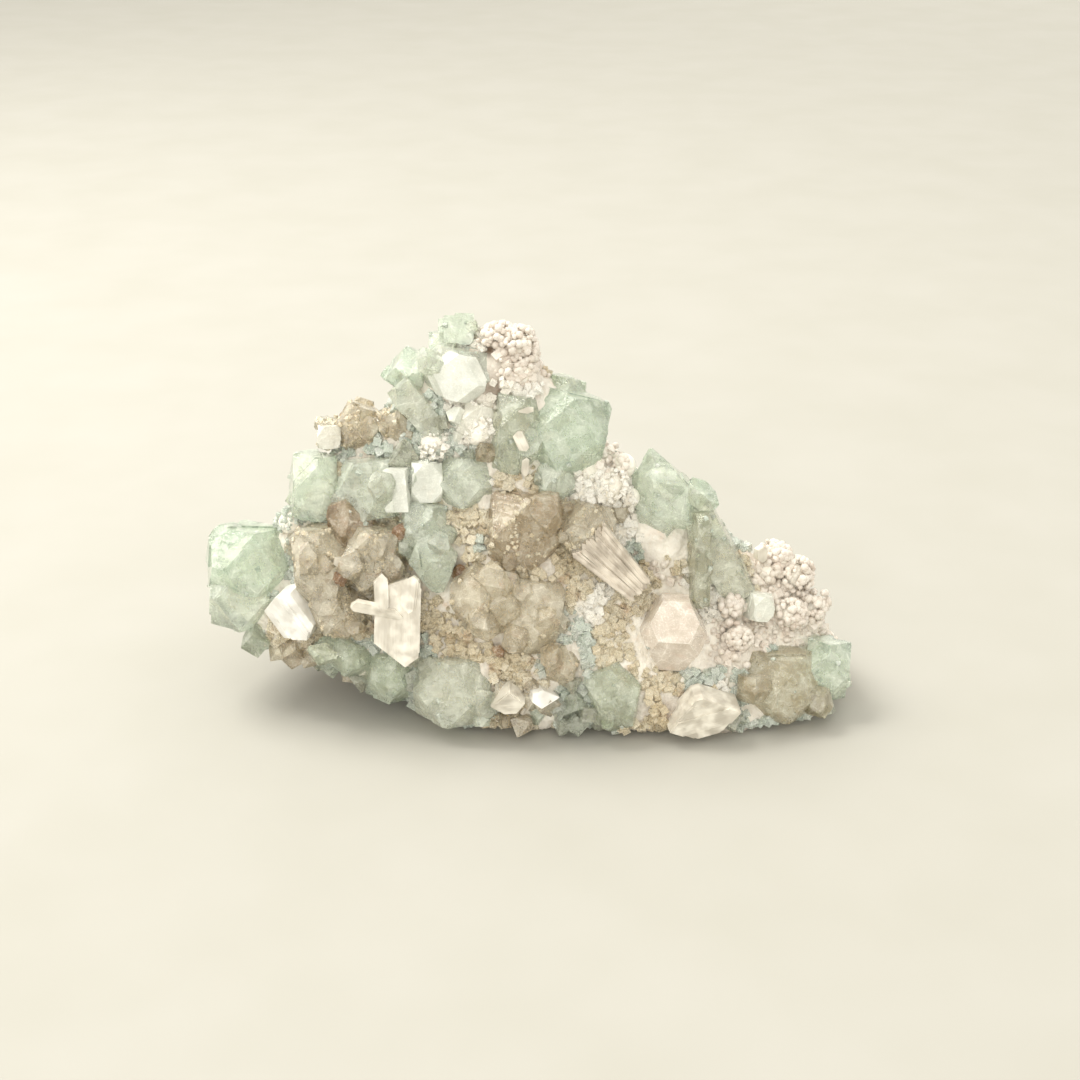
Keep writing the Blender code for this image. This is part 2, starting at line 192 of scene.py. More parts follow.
# The object coordinates in millimetres, so that a pattern's scale is 1 / its size.
def millimetres(tree):
    place = addNode(tree, "TexCoord", {}, "Object")
    return addNode(tree, "Mapping", {"Scale": (1 / mm,) * 3, "Vector": place})


# A material with an empty node tree.
def newMaterial(name):
    material = bpy.data.materials.new(name)
    material.use_nodes = True
    material.node_tree.nodes.clear()
    return material, material.node_tree


# Patches of noise of a given size in millimetres: 0 up to the noise's low level, and 1 from its high level.
def spots(tree, place, size, low, high, detail=2.0, seed=0.0):
    moved = addNode(tree, "Mapping", {"Location": (seed, seed * 0.7, seed * 1.3), "Vector": place})
    noise = addNode(tree, "TexNoise", {"Scale": 1 / size, "Detail": detail, "Roughness": 0.55,
                                       "Vector": moved})
    return addNode(tree, "MapRange", {"From Min": low, "From Max": high, "Value": noise})


# Colours laid over each other: each layer covers those below it by its mask times its strength.
def layered(tree, colour, *layers):
    for mask, strength, cover in layers:
        share = addNode(tree, "Math", {"operation": "MULTIPLY", 0: mask, 1: strength})
        colour = addNode(tree, "Mix", {"data_type": "RGBA", "Factor": share, 6: colour, 7: cover}, 2)
    return colour


# A level plus each pattern times its weight, held between 0 and 1 at every step.
def levelWith(tree, level, *patterns):
    for pattern, weight in patterns:
        level = addNode(tree, "Math", {"operation": "MULTIPLY_ADD", "use_clamp": True,
                                       0: pattern, 1: weight, 2: level})
    return level


# Sizes of the patterns in apophyllite, in millimetres, but for the growth lines: so many a millimetre. Its
# frost, whose white flecks are also painted glints, and its etched grain, some 0.05 mm in life, are drawn as
# coarse as they need to show.
glassPatterns = {"veils": 1.6, "frost": 0.16, "stains": 1.7, "cracks": 2.0, "bends": 5 / 3, "grain": 0.3,
                 "lines": 4.5, "etching": 0.25, "crackEdge": 0.045}


# Apophyllite: a glassy to pearly tetragonal crystal, grown in layers and lightly etched. The eye sees soft
# depth, white drifts where cracks have healed inside it, fine frost, and shallow lines across its sides. The
# frost's white flecks are partly painted glints, standing in for the sparkle of its faces.
def apophyllite(name, look):
    material, tree = newMaterial(name)
    place, size = millimetres(tree), glassPatterns
    own = addNode(tree, "Attribute", {"attribute_name": "inCrystal"}, "Vector")
    tint, warm = (addNode(tree, "Attribute", {"attribute_name": each}, "Fac") for each in ("tint", "warm"))
    veils = spots(tree, place, size["veils"], 0.4, 0.7, 6.0)
    # White flecks: frost, and painted glints in place of the sparkle of the faces.
    frostAndGlintFlecks = spots(tree, place, size["frost"], 0.5, 0.78, 3.0, 3.0)
    stain = spots(tree, place, size["stains"], 0.56, 0.74, 4.0, 8.0)
    bend = addNode(tree, "TexNoise", {"Scale": 1 / size["bends"], "Detail": 2.0, "Vector": place}, "Color")
    crooked = addNode(tree, "VectorMath", {"operation": "MULTIPLY_ADD", 0: bend, 1: (1.6,) * 3, 2: place})
    cells = addNode(tree, "TexVoronoi", {"feature": "DISTANCE_TO_EDGE", "Scale": 1 / size["cracks"],
                                         "Vector": crooked})
    edges = addNode(tree, "MapRange", {"From Min": 0.0, "From Max": size["crackEdge"], "To Min": 1.0,
                                       "To Max": 0.0, "Value": cells})
    cracks = addNode(tree, "Math", {"operation": "MULTIPLY", 0: edges, 1: veils})
    across = addNode(tree, "Mapping", {"Scale": (0.5, 0.5, size["lines"]), "Vector": own})
    lines = addNode(tree, "TexNoise", {"Scale": 1.0, "Detail": 3.0, "Roughness": 0.6, "Vector": across})
    grain = addNode(tree, "TexNoise", {"Scale": 1 / size["grain"], "Detail": 4.0, "Roughness": 0.65,
                                       "Vector": place})
    # The fleck white on the flecks is partly a painted glint; on the cracks it is their own white.
    body = layered(tree, look["deep"], (tint, 1.0, look["pale"]), (warm, 1.0, look["warm"]),
                   (veils, 0.5, look["cloud"]), (stain, look["stained"], look["stain"]),
                   (frostAndGlintFlecks, 0.55, look["fleck"]), (cracks, 0.35, look["fleck"]))
    cloudy, clear = look["clear"]
    milk = levelWith(tree, 0.0, (veils, 0.6), (frostAndGlintFlecks, 0.5))
    passing = levelWith(tree, clear, (milk, cloudy - clear), (cracks, -0.2))
    bump = addNode(tree, "Bump", {"Strength": look["etched"], "Distance": size["etching"] * mm,
                                  "Height": levelWith(tree, lines, (grain, 0.5))})
    rough = addNode(tree, "MapRange", {"From Min": 0.35, "From Max": 0.68, "To Min": look["rough"][0],
                                       "To Max": look["rough"][1], "Value": grain})
    shader = addNode(tree, "BsdfPrincipled", {"IOR": 1.535, "Base Color": body, "Roughness": rough,
                                              "Normal": bump, "Transmission Weight": passing})
    inside = addNode(tree, "VolumeAbsorption", {"Color": look["inside"], "Density": look["density"]})
    addNode(tree, "OutputMaterial", {"Surface": shader, "Volume": inside})
    return material


# Stilbite: sheaves of thin laths that split along their length. They look opaque and pearly, with a satin
# sheen over fine lines. The fibres, some 0.05 mm wide in life, are drawn five to the millimetre to show.
def stilbite(name, look):
    material, tree = newMaterial(name)
    own = addNode(tree, "Attribute", {"attribute_name": "inCrystal"}, "Vector")
    along = addNode(tree, "Mapping", {"Scale": (5.0, 5.0, 0.35), "Vector": own})
    fibres = addNode(tree, "TexNoise", {"Scale": 1.0, "Detail": 3.0, "Roughness": 0.6, "Vector": along})
    clouds = spots(tree, millimetres(tree), 1.4, 0.4, 0.65, 3.0)
    body = layered(tree, look["shade"], (fibres, 1.0, look["pearl"]), (clouds, 0.6, look["cloud"]))
    bump = addNode(tree, "Bump", {"Strength": 0.55, "Distance": 0.12 * mm, "Height": fibres})
    shader = addNode(tree, "BsdfPrincipled", {
        "IOR": 1.5, "Roughness": 0.3, "Coat Weight": 0.35, "Coat Roughness": 0.18, "Base Color": body,
        "Normal": bump, "Transmission Weight": levelWith(tree, look["clear"], (clouds, -look["clear"]))})
    addNode(tree, "OutputMaterial", {"Surface": shader})
    return material


# Druse and rock: crusts of tiny crystals, from sugary to dull. They sparkle softly where the grain is clear,
# and look crumbly where it is not. Their colour follows patches that are painted on the points.
def drusy(name, look):
    material, tree = newMaterial(name)
    place = millimetres(tree)
    tint = addNode(tree, "Attribute", {"attribute_name": "tint"}, "Fac")
    grain = spots(tree, place, look["grain"], 0.35, 0.65, 4.0)
    drifts = spots(tree, place, 3.2, 0.42, 0.6, 3.0, 5.0)
    stain = spots(tree, place, 2.0, 0.58, 0.72, 4.0, 9.0)
    paleDrifts, paleGrain = (addNode(tree, "Math", {"operation": "MULTIPLY", 0: pattern, 1: tint})
                             for pattern in (drifts, grain))
    body = layered(tree, look["deep"], (tint, 1.0, look["pale"]), (paleDrifts, 0.7, look["patch"]),
                   (paleGrain, 0.6, look["fleck"]), (stain, look["stained"], look["stain"]))
    bump = addNode(tree, "Bump", {"Strength": 0.6, "Distance": look["grain"] * 0.4 * mm, "Height": grain})
    low, high = look["rough"]
    rough = addNode(tree, "MapRange", {"To Min": low, "To Max": high, "Value": grain})
    shader = addNode(tree, "BsdfPrincipled", {"IOR": 1.54, "Transmission Weight": look["clear"],
                                              "Base Color": body, "Roughness": rough, "Normal": bump})
    addNode(tree, "OutputMaterial", {"Surface": shader})
    return material


# Clear: how much light passes where a crystal is milky, and where it is clear. Density: of the colour inside.
# Fleck: the white of the frost and the cracks, which on the frost is partly a painted glint.
greenLook = {"deep": "D2E6D2", "pale": "F4FAEE", "cloud": "F4F9EE", "fleck": "FFFFFA", "stain": "EDE3CA",
             "warm": "CBBB9C", "stained": 0.25, "clear": (0.42, 0.8), "etched": 0.3, "rough": (0.02, 0.14),
             "inside": "B4D6C0", "density": 22.0}
brownLook = {"deep": "DACCAE", "pale": "F6F0DC", "cloud": "F9F5E6", "fleck": "FFFDF4", "stain": "D6AE90",
             "warm": "B89C76", "stained": 0.45, "clear": (0.4, 0.78), "etched": 0.3, "rough": (0.03, 0.2),
             "inside": "DCC6A4", "density": 18.0}
pearlyLook = {"deep": "DCCDBB", "pale": "F3EBDE", "cloud": "F8F3EA", "fleck": "FFFFFF", "stain": "E6C2AC",
              "warm": "E3C9B6", "stained": 0.3, "clear": (0.15, 0.45), "etched": 0.12, "rough": (0.1, 0.28),
              "inside": "EFE3D5", "density": 10.0}
palestLook = {**greenLook, "deep": "F3F6E8", "pale": "FBFDF3", "cloud": "FCFDF6", "stain": "F0DFC8",
              "warm": "EFE3CE", "clear": (0.1, 0.4)}
rustyLook = {**brownLook, "deep": "8A6648", "pale": "AE8A66", "cloud": "C2A27E", "stain": "7A4E34",
             "clear": (0.1, 0.45)}
glasses = {     # finish and slot of each kind of apophyllite
    "green": (apophyllite("glassy_green_apophyllite", greenLook), "green_apophyllite"),
    "pale": (apophyllite("colourless_apophyllite", palestLook), "green_apophyllite"),
    "rusty": (apophyllite("rust_stained_apophyllite", rustyLook), "brown_apophyllite"),
    "brown": (apophyllite("iron_stained_apophyllite", brownLook), "brown_apophyllite"),
    "pearly": (apophyllite("pearly_milky_apophyllite", pearlyLook), "pearly_apophyllite")}
# Bruised edges of the crystals: partly frost, where their broken surface scatters light, and partly a painted
# highlight, pale lines in place of the glints along their edges.
frostAndHighlightEdge, edgeTree = newMaterial("frosted_edge_painted_highlight")
edgeFrostAndHighlight = spots(edgeTree, millimetres(edgeTree), 0.8, 0.35, 0.6)
edgeShader = addNode(edgeTree, "BsdfPrincipled", {
    "IOR": 1.535, "Roughness": 0.5, "Transmission Weight": 0.1,
    "Base Color": layered(edgeTree, "F9FCF6", (edgeFrostAndHighlight, 1.0, "FFFFFD"))})
addNode(edgeTree, "OutputMaterial", {"Surface": edgeShader})
# The bright laths are the pearly ones painted lighter: painted light, so that sheaves sitting in shade read as
# white.
whiteSheaf, lighterPaintedSheaf, beigeSheaf = (
    stilbite(name, {"shade": shade, "pearl": pearl, "cloud": cloud, "clear": clear})
    for name, shade, pearl, cloud, clear in (
        ("pearly_stilbite_laths", "D3CAB8", "F2ECDF", "F5F1E6", 0.35),
        ("stilbite_laths_painted_lighter", "F3EFE4", "FFFDF8", "FFFFFD", 0.3),
        ("beige_stilbite_laths", "C6B8A6", "EAE0D1", "EBE3D6", 0.35)))
# Its deep colour is brown stain in the pits, and painted shade in the low spots and the crevice.
rockFinish = drusy("crumbly_zeolite_rock", {      # dull and dusty, dark in its hollows
    "deep": "6B5138", "pale": "F9F3E6", "patch": "FBF6EC", "fleck": "FEFBF4", "stain": "D9B497",
    "stained": 0.3, "grain": 0.45, "rough": (0.55, 0.9), "clear": 0.0})
druseFinishes = {
    "white": drusy("sugary_white_druse", {        # snowy, with a dry sparkle
        "deep": "F8F1E4", "pale": "FFFCF4", "patch": "FCF7EE", "fleck": "FFFFFA", "stain": "EEDCC8",
        "stained": 0.15, "grain": 0.25, "rough": (0.15, 0.5), "clear": 0.2}),
    "pink": drusy("botryoidal_pink_chalcedony", {     # waxy little balls, pink-white
        "deep": "D6C7B8", "pale": "F0E7DB", "patch": "E8DCD2", "fleck": "FDFAF2", "stain": "D9BCA8",
        "stained": 0.25, "grain": 0.2, "rough": (0.25, 0.55), "clear": 0.1}),
    "brown": drusy("sugary_peach_druse", {        # brown sugar, warm where iron has stained it
        "deep": "DECBA6", "pale": "F6ECD4", "patch": "EEE1C4", "fleck": "FDF8E8", "stain": "CDA380",
        "stained": 0.4, "grain": 0.25, "rough": (0.12, 0.45), "clear": 0.35}),
    "green": drusy("sugary_green_druse", {        # wet-looking, half clear
        "deep": "D3E2D2", "pale": "F1F6ED", "patch": "E9F1E5", "fleck": "FDFEF9", "stain": "EBDDC8",
        "stained": 0.25, "grain": 0.3, "rough": (0.06, 0.35), "clear": 0.45})}

# Crystals

# A crystal is the space behind its planes: their outward directions and distances, in its own axes.
# A block has sides, a basal face at each end and a pyramid at each end that cuts its corners.
def blockPlanes(low, high, caps):
    normals = np.concatenate([np.eye(3), -np.eye(3)]).tolist()
    distances = [*high, *(-np.array(low))]
    for x, y in itertools.product((faceOut, -faceOut), repeat=2):
        normals += [(x, y, faceUp), (x, y, -faceUp)]
        distances += [faceUp * caps[0], faceUp * caps[1]]
    return np.array(normals), np.array(distances)


# A lath has sides, and two sloping faces at each end that meet in a ridge over the crest.
def lathPlanes(low, high, ends, half, crest):
    normals = np.concatenate([np.eye(3)[:2], -np.eye(3)[:2]]).tolist()
    distances = [high[0], high[1], -low[0], -low[1]]
    for angle, end in zip(ends, (1, -1)):
        slope = math.radians(angle)
        for side in (1, -1):
            normals.append((side * math.sin(slope), 0, end * math.cos(slope)))
            distances.append(math.cos(slope) * half + side * math.sin(slope) * crest)
    return np.array(normals, float), np.array(distances, float)


# Corners: every point where three planes meet that is behind all the others. The faces are the hull's.
def polyhedron(name, normals, distances, turn, at):
    tiny, same = 1e-6, 0.01     # planes that hardly meet, and corners that are one
    triples = np.array(list(itertools.combinations(range(len(normals)), 3)))
    systems = normals[triples]
    meeting = np.abs(np.linalg.det(systems)) > tiny
    points = np.linalg.solve(systems[meeting], distances[triples[meeting]][..., None])[..., 0]
    points = points[np.all(points @ normals.T <= distances + tiny, axis=1)]
    if len(points) < 4:
        return None
    apart = np.linalg.norm(points[:, None] - points[None], axis=-1) < same
    points = points[np.argmax(apart, 1) == np.arange(len(points))] @ turn.T + at
    shape = bmesh.new()
    corners = [shape.verts.new(point) for point in (points * mm).tolist()]
    hull = bmesh.ops.convex_hull(shape, input=corners)
    unused = hull["geom_unused"] + hull["geom_interior"]
    inner = [part for part in unused if isinstance(part, bmesh.types.BMVert)]
    bmesh.ops.delete(shape, geom=inner, context="VERTS")
    bmesh.ops.dissolve_limit(shape, angle_limit=math.radians(0.5), verts=shape.verts, edges=shape.edges)
    mesh = bpy.data.meshes.new(name)
    shape.to_mesh(mesh)
    shape.free()
    return bpy.data.objects.new(name, mesh)


# Parallel growth: a core a little inside the crystal's envelope, and plates that reach it on one side each,
# so that every face has shallow steps.
def growthBlocks(size, caps, steps, depth):
    half, caps = size / 2, np.array(caps)
    core = half - depth * random.uniform(0.5, 1.0, 3)
    blocks = [blockPlanes(-core, core, caps - depth * random.uniform(0.3, 0.8, 2))]
    for step in range(steps):
        axis = (0, 1, 2, 1, 0, 1)[step % 6]
        side = 1 if step % 4 in (0, 1) else -1
        if random.random() < 0.3:
            side = -side
        low, high = -core.copy(), core.copy()
        for other in {0, 1, 2} - {axis}:
            edge, share = half[other], random.uniform(0.3, 0.75) * 2 * half[other]
            start = random.choice((-edge, edge - share, random.uniform(-edge, edge - share)))
            low[other], high[other] = start, start + share
        reach = half[axis] - depth * random.uniform(0.0, 0.6)
        low[axis], high[axis] = (-0.2 * half[axis], reach) if side > 0 else (-reach, 0.2 * half[axis])
        blocks.append(blockPlanes(low, high, caps - depth * random.uniform(0.0, 0.9, 2)))
    return blocks


# A blade of stilbite: one lath with a pointed end, and thinner plates on it that stop a little short.
def bladeBlocks(size, ends, plates, ridge=0.2):
    half = size / 2
    core = half * (0.96, 0.8, 1)
    crest = ridge * half[0]
    blocks = [lathPlanes(-core, core, ends, half[2] * 0.98, crest)]
    for plate in range(plates):
        left = random.uniform(-1.0, 0.2) * half[0]
        right = min(half[0], left + random.uniform(0.5, 1.2) * half[0])
        side = 1 if plate % 2 else -1
        depth = half[1] * random.uniform(0.86, 1.0)
        low, high = sorted((0.0, side * depth))
        reach = half[2] * random.uniform(0.86, 0.99)
        blocks.append(lathPlanes((left, low), (right, high), ends, reach, crest))
    return blocks


# A fan: thin laths that start together at the lower end and spread across the width.
def fanMembers(sheaf, laths, spread):
    made = []
    width, depth, height = sheaf["size"]
    lathWidth = width / laths * 2.0
    for number in range(laths):
        part = number / (laths - 1) - 0.5
        aside = np.array((part * (width - lathWidth), 0.09 * (number % 3 - 1) * depth, 0))
        size = (lathWidth, depth * random.uniform(0.64, 0.8), height * random.uniform(0.86, 1.0))
        turn = sheaf["turn"] + (part * spread, 0, random.uniform(-8, 8))
        lath = block(sheaf["at"] + sheaf["axes"] @ aside, size, turn, sheaf["caps"], sheaf["tint"])
        lath["blocks"] = bladeBlocks(lath["size"], lath["caps"], 2)
        made.append(lath)
    return made


floorCutter = makeMesh("floorCutter", list(itertools.product((-90, 90), (-90, 90), (-20, 0))),
                       [[0, 1, 3, 2], [4, 6, 7, 5], [0, 4, 5, 1], [2, 3, 7, 6], [0, 2, 6, 4], [1, 5, 7, 3]])
floorCutter.hide_render = True


# The union of shells, trimmed at the resting surface, and how many of its edges don't join two faces.
def united(name, shells):
    bpy.context.scene.collection.objects.link(shells[0])
    others = bpy.data.collections.new(name + "Shells")
    for shell in shells[1:]:
        others.objects.link(shell)
    cutters = bpy.data.collections.new(name + "Cutters")
    cutters.objects.link(floorCutter)
    for operation, group in (("UNION", others), ("DIFFERENCE", cutters)):
        step = shells[0].modifiers.new(operation, "BOOLEAN")
        step.operation, step.solver = operation, "MANIFOLD"
        step.operand_type, step.collection = "COLLECTION", group
    bpy.context.view_layer.update()
    mesh = bpy.data.meshes.new_from_object(shells[0].evaluated_get(bpy.context.evaluated_depsgraph_get()))
    mesh.name = name
    for shell in shells:
        bpy.data.objects.remove(shell)
    for group in (others, cutters):
        bpy.data.collections.remove(group)
    shape = bmesh.new()
    shape.from_mesh(mesh)
    bmesh.ops.remove_doubles(shape, verts=shape.verts, dist=0.0004 * mm)
    bad = sum(not edge.is_manifold for edge in shape.edges)
    shape.to_mesh(mesh)
    shape.free()
    return mesh, bad


# Whether a small crystal's shell would stand out of the solids' box.
def sticksOut(shell):
    reach = valuesOf(shell.data.vertices, "co", float, 3) / mm
    return (reach[:, :2] < boxLow[:2] + 2 * margin).any() or (reach > boxHigh - 2 * margin).any()


# One piece from many crystals that grew together: their union, trimmed at the resting surface. Where faces
# that nearly touch leave an open edge, the crystals move by some thousandths of a millimetre and the union is
# made again. A face belongs to the crystal whose planes lie nearest to its middle, and each of its corners
# keeps its place in that crystal's axes, for growth lines, and that crystal's tint and warmth.
def grownTogether(name, members, material, edging, bevel):
    for nudge in (0, 0.003, 0.005, 0.008, 0.012, 0.02):
        shells, owners = [], []
        for member in members:
            turn, at = member["axes"], member["at"] + shift + random.normal(0, 1, 3) * nudge
            for normals, distances in member["blocks"]:
                shell = polyhedron(name + "Shell", normals, distances, turn, at)
                if shell and member["small"] and sticksOut(shell):
                    bpy.data.objects.remove(shell)
                elif shell:
                    shells.append(shell)
                    facing = normals @ turn.T
                    owners.append((facing, distances + facing @ at, turn, at, member["tint"], member["warm"]))
        mesh, bad = united(name, shells)
        if not bad:
            break
    made = bpy.data.objects.new(name, mesh)
    bpy.context.scene.collection.objects.link(made)
    mesh.materials.clear()
    for finish in (material, edging):
        mesh.materials.append(finish)
    mesh.polygons.foreach_set("material_index", np.zeros(len(mesh.polygons), np.int32))
    centres = valuesOf(mesh.polygons, "center", float, 3) / mm
    away = [np.abs((centres @ facing.T - distances).max(1)) for facing, distances, *_ in owners]
    owner = np.repeat(np.argmin(away, 0), valuesOf(mesh.polygons, "loop_total", np.int32, 1).ravel())
    corner = valuesOf(mesh.loops, "vertex_index", np.int32, 1).ravel()
    points = valuesOf(mesh.vertices, "co", float, 3)[corner] / mm
    turns, places, tints, warmths = (np.array(column)[owner] for column in list(zip(*owners))[2:])
    own = np.einsum("ni,nij->nj", points - places, turns) + 7.3 * owner[:, None]     # no two look alike
    setAttribute(mesh, "inCrystal", "FLOAT_VECTOR", "CORNER", own)
    setAttribute(mesh, "tint", "FLOAT", "CORNER", tints)
    setAttribute(mesh, "warm", "FLOAT", "CORNER", warmths)
    edge = made.modifiers.new("wornEdges", "BEVEL")
    edge.width, edge.segments, edge.limit_method = bevel * mm, 1, "ANGLE"
    edge.angle_limit, edge.material, edge.use_clamp_overlap = math.radians(25), 1, True
    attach(made, "root")
    return made


# at: the middle. size: width, depth, height. turn: lean right, tip forward, twist. caps: where the upper and
# the lower pyramid would come to a point. tint: from deep, 0, to pale, 1. All in millimetres and degrees.
def block(at, size, turn, caps, tint=0.5, warm=0.0, **more):
    return {"at": np.array(at), "size": np.array(size), "turn": np.array(turn), "axes": turned(turn),
            "caps": caps, "tint": tint, "warm": warm, "small": False, **more}


apophylliteGroups = {
    "apophyllite_left": [
        block((-32.5, -2.0, 16.5), (8.8, 8.0, 7.2), (5, -14, 14), (8.0, 9.4), 0.25, steps=5, companions=0),
        block((-33.5, -3.0, 11.5), (6.8, 7.0, 5.6), (4, -14, 8), (8.8, 7.0), 0.8, steps=5, companions=0),
        block((-31.5, -3.0, 8.0), (2.8, 4.0, 4.0), (-6, -10, 5), (5.0, 5.0), 0.5)],
    "apophyllite_upper_left": [
        block((-25.0, 0.0, 24.5), (5.0, 6.0, 7.0), (6, -10, 12), (6.4, 8.4), 0.6, companions=2, steps=6),
        block((-18.5, -2.0, 25.0), (6.2, 6.5, 6.6), (-5, -14, -22), (6.9, 8.0), 0.8, companions=2, steps=6)],
    "apophyllite_upper_middle": [
        block((-12.5, -2.0, 26.0), (4.0, 5.0, 4.8), (3, -12, 10), (4.4, 5.4), 1.0),
        block((-8.0, -2.0, 26.0), (6.2, 6.0, 5.4), (3, -10, -8), (6.2, 6.8), 0.7)],
    "apophyllite_smoky": [
        block((-23.0, 3.0, 29.5), (3.2, 4.0, 3.0), (0, -10, 8), (4.5, 4.5), 1.0),
        block((-20.0, 3.0, 30.0), (4.4, 5.0, 5.0), (20, -10, -20), (5.2, 5.2), 0.1),
        block((-15.5, 2.0, 30.5), (4.4, 5.0, 4.4), (-12, -5, 20), (5.0, 5.0), 0.3)],
    "apophyllite_summit": [
        block((-14.0, 4.0, 36.0), (4.6, 6.0, 4.6), (35, -10, 5), (4.9, 5.4), 0.35),
        block((-8.5, 2.0, 37.0), (7.6, 7.0, 5.6), (8, -10, -8), (6.9, 7.4), 1.0),
        block((-13.0, 1.0, 33.0), (3.0, 5.6, 7.4), (-42, -10, 5), (7.0, 7.0), 0.65, 0.25),
        block((-11.0, 4.0, 39.5), (2.2, 3.0, 2.4), (0, -10, 5), (2.8, 3.0), 0.7),
        block((-9.0, 4.0, 40.97), (3.4, 4.0, 3.5), (2, -20, 5), (5.9, 5.9), 0.6, companions=2)],
    "apophyllite_upper_right": [
        block((3.0, 0.0, 31.0), (8.6, 8.0, 8.4), (14, -12, -5), (8.6, 9.4), 0.12, companions=3, steps=6),
        block((-3.0, -1.0, 31.0), (4.6, 6.0, 8.6), (8, -10, 15), (7.8, 8.0), 0.25, 0.3),
        block((2.5, 3.0, 34.5), (5.4, 5.0, 3.0), (10, -10, 10), (3.6, 4.0), 0.0, 0.2),
        block((1.5, -3.0, 26.5), (4.0, 4.0, 4.4), (5, 0, 20), (4.0, 5.0), 0.7)],
    "apophyllite_spire": [
        block((13.0, -1.0, 23.0), (6.2, 6.2, 12.0), (-9, -5, 8), (6.3, 7.0), 0.6, steps=4, companions=2),
        block((14.3, -2.4, 24.1), (5.0, 5.0, 8.0), (-43, -6, 4), (6.0, 6.0), 0.7, steps=3, companions=2),
        block((19.5, -3.0, 18.0), (3.6, 4.5, 12.0), (-28, -10, 0), (8.6, 9.0), 0.95, 0.3),
        block((17.5, -5.5, 18.0), (2.0, 4.0, 10.5), (0, -12, 10), (7.5, 8.0), 0.2, 0.6)],
    "apophyllite_centre": [
        block((-2.0, -5.0, 21.5), (7.6, 7.0, 8.0), (6, -10, 10), (8.2, 9.0), 0.0, 0.5),
        block((5.0, -5.0, 21.5), (6.2, 6.0, 5.6), (12, -8, -15), (5.6, 6.6), 0.4)],
    "apophyllite_centre_low": [
        block((-1.0, -9.0, 13.0), (7.0, 7.0, 8.0), (8, -12, -10), (7.6, 7.8), 0.5),
        block((-6.0, -9.0, 14.5), (6.4, 6.4, 8.0), (-35, -5, 30), (6.5, 6.5), 0.4),
        block((2.0, -10.5, 8.0), (4.2, 6.0, 5.0), (-10, -8, 20), (5.0, 5.0), 0.4)],
    "apophyllite_middle": [
        block((-11.5, -7.0, 18.5), (5.0, 5.0, 7.0), (172, 15, 40), (4.6, 5.2), 0.6),
        block((-12.5, -5.0, 22.0), (5.0, 5.0, 4.6), (12, -8, 15), (4.6, 6.0), 0.7)],
    "apophyllite_brown_left": [
        block((-24.0, -5.0, 17.0), (6.0, 7.0, 8.6), (-4, -10, 10), (7.4, 7.6), 0.75),
        block((-20.5, -4.0, 21.5), (5.0, 5.0, 6.6), (-25, -5, 30), (5.0, 5.4), 0.0, 1.0, steps=2,
              companions=1, coat="green"),
        block((-18.0, -6.0, 18.5), (5.6, 6.0, 6.6), (8, -8, -12), (7.0, 7.0), 0.6),
        block((-22.0, -7.0, 12.5), (6.2, 6.0, 5.0), (25, -8, -10), (6.0, 6.0), 0.4)],
    "apophyllite_under_left": [
        block((-21.0, -8.0, 7.5), (7.6, 6.0, 3.8), (25, -10, 5), (5.4, 5.0), 0.05, 0.2),
        block((-16.5, -9.0, 5.5), (5.2, 6.0, 5.4), (10, -10, 10), (5.6, 5.6), 0.0, 0.2)],
    "apophyllite_foot_left": [
        block((-9.5, -11.0, 5.0), (8.6, 7.0, 7.2), (4, -12, -8), (8.0, 8.4), 0.85, 0.2)],
    "apophyllite_foot_small": [
        block((-0.5, -11.0, 2.3), (4.2, 5.0, 3.2), (4, -12, 10), (4.4, 3.6), 0.5)],
    "apophyllite_foot_middle": [
        block((8.0, -12.0, 4.6), (5.4, 6.0, 7.0), (-22, -10, 30), (6.4, 6.0), 0.05, 0.3)],
    "apophyllite_pearly": [
        block((14.5, -9.4, 11.0), (7.6, 7.6, 8.4), (3, -8, 43), (6.7, 6.4), 0.5, 0.2, steps=2, companions=0)],
    "apophyllite_right": [
        block((26.5, -8.0, 4.3), (8.8, 9.0, 6.8), (3, -6, 8), (7.8, 9.4), 0.1, 0.9),
        block((32.0, -6.5, 5.0), (4.8, 6.0, 6.4), (5, -12, -8), (6.2, 6.6), 0.35)],
    "apophyllite_back_left": [
        block((-24.0, 8.0, 16.0), (6.4, 6.0, 6.4), (-8, 20, 160), (7.6, 7.6), 0.5),
        block((-28.5, 5.5, 11.5), (5.0, 5.0, 4.6), (12, 14, 195), (6.0, 6.0), 0.4)],
    "apophyllite_back_top": [
        block((-4.0, 8.5, 32.0), (5.6, 6.0, 5.2), (15, 24, 170), (6.4, 6.4), 0.6, 0.1),
        block((1.0, 8.0, 28.5), (4.4, 5.0, 4.4), (-10, 18, 200), (5.2, 5.2), 0.4)],
    "apophyllite_back_right": [
        block((17.0, 10.0, 13.0), (6.8, 6.0, 6.2), (8, 16, 190), (7.6, 7.6), 0.5),
        block((22.0, 8.5, 8.5), (5.0, 5.0, 5.6), (-14, 10, 165), (6.2, 6.2), 0.3)],
}
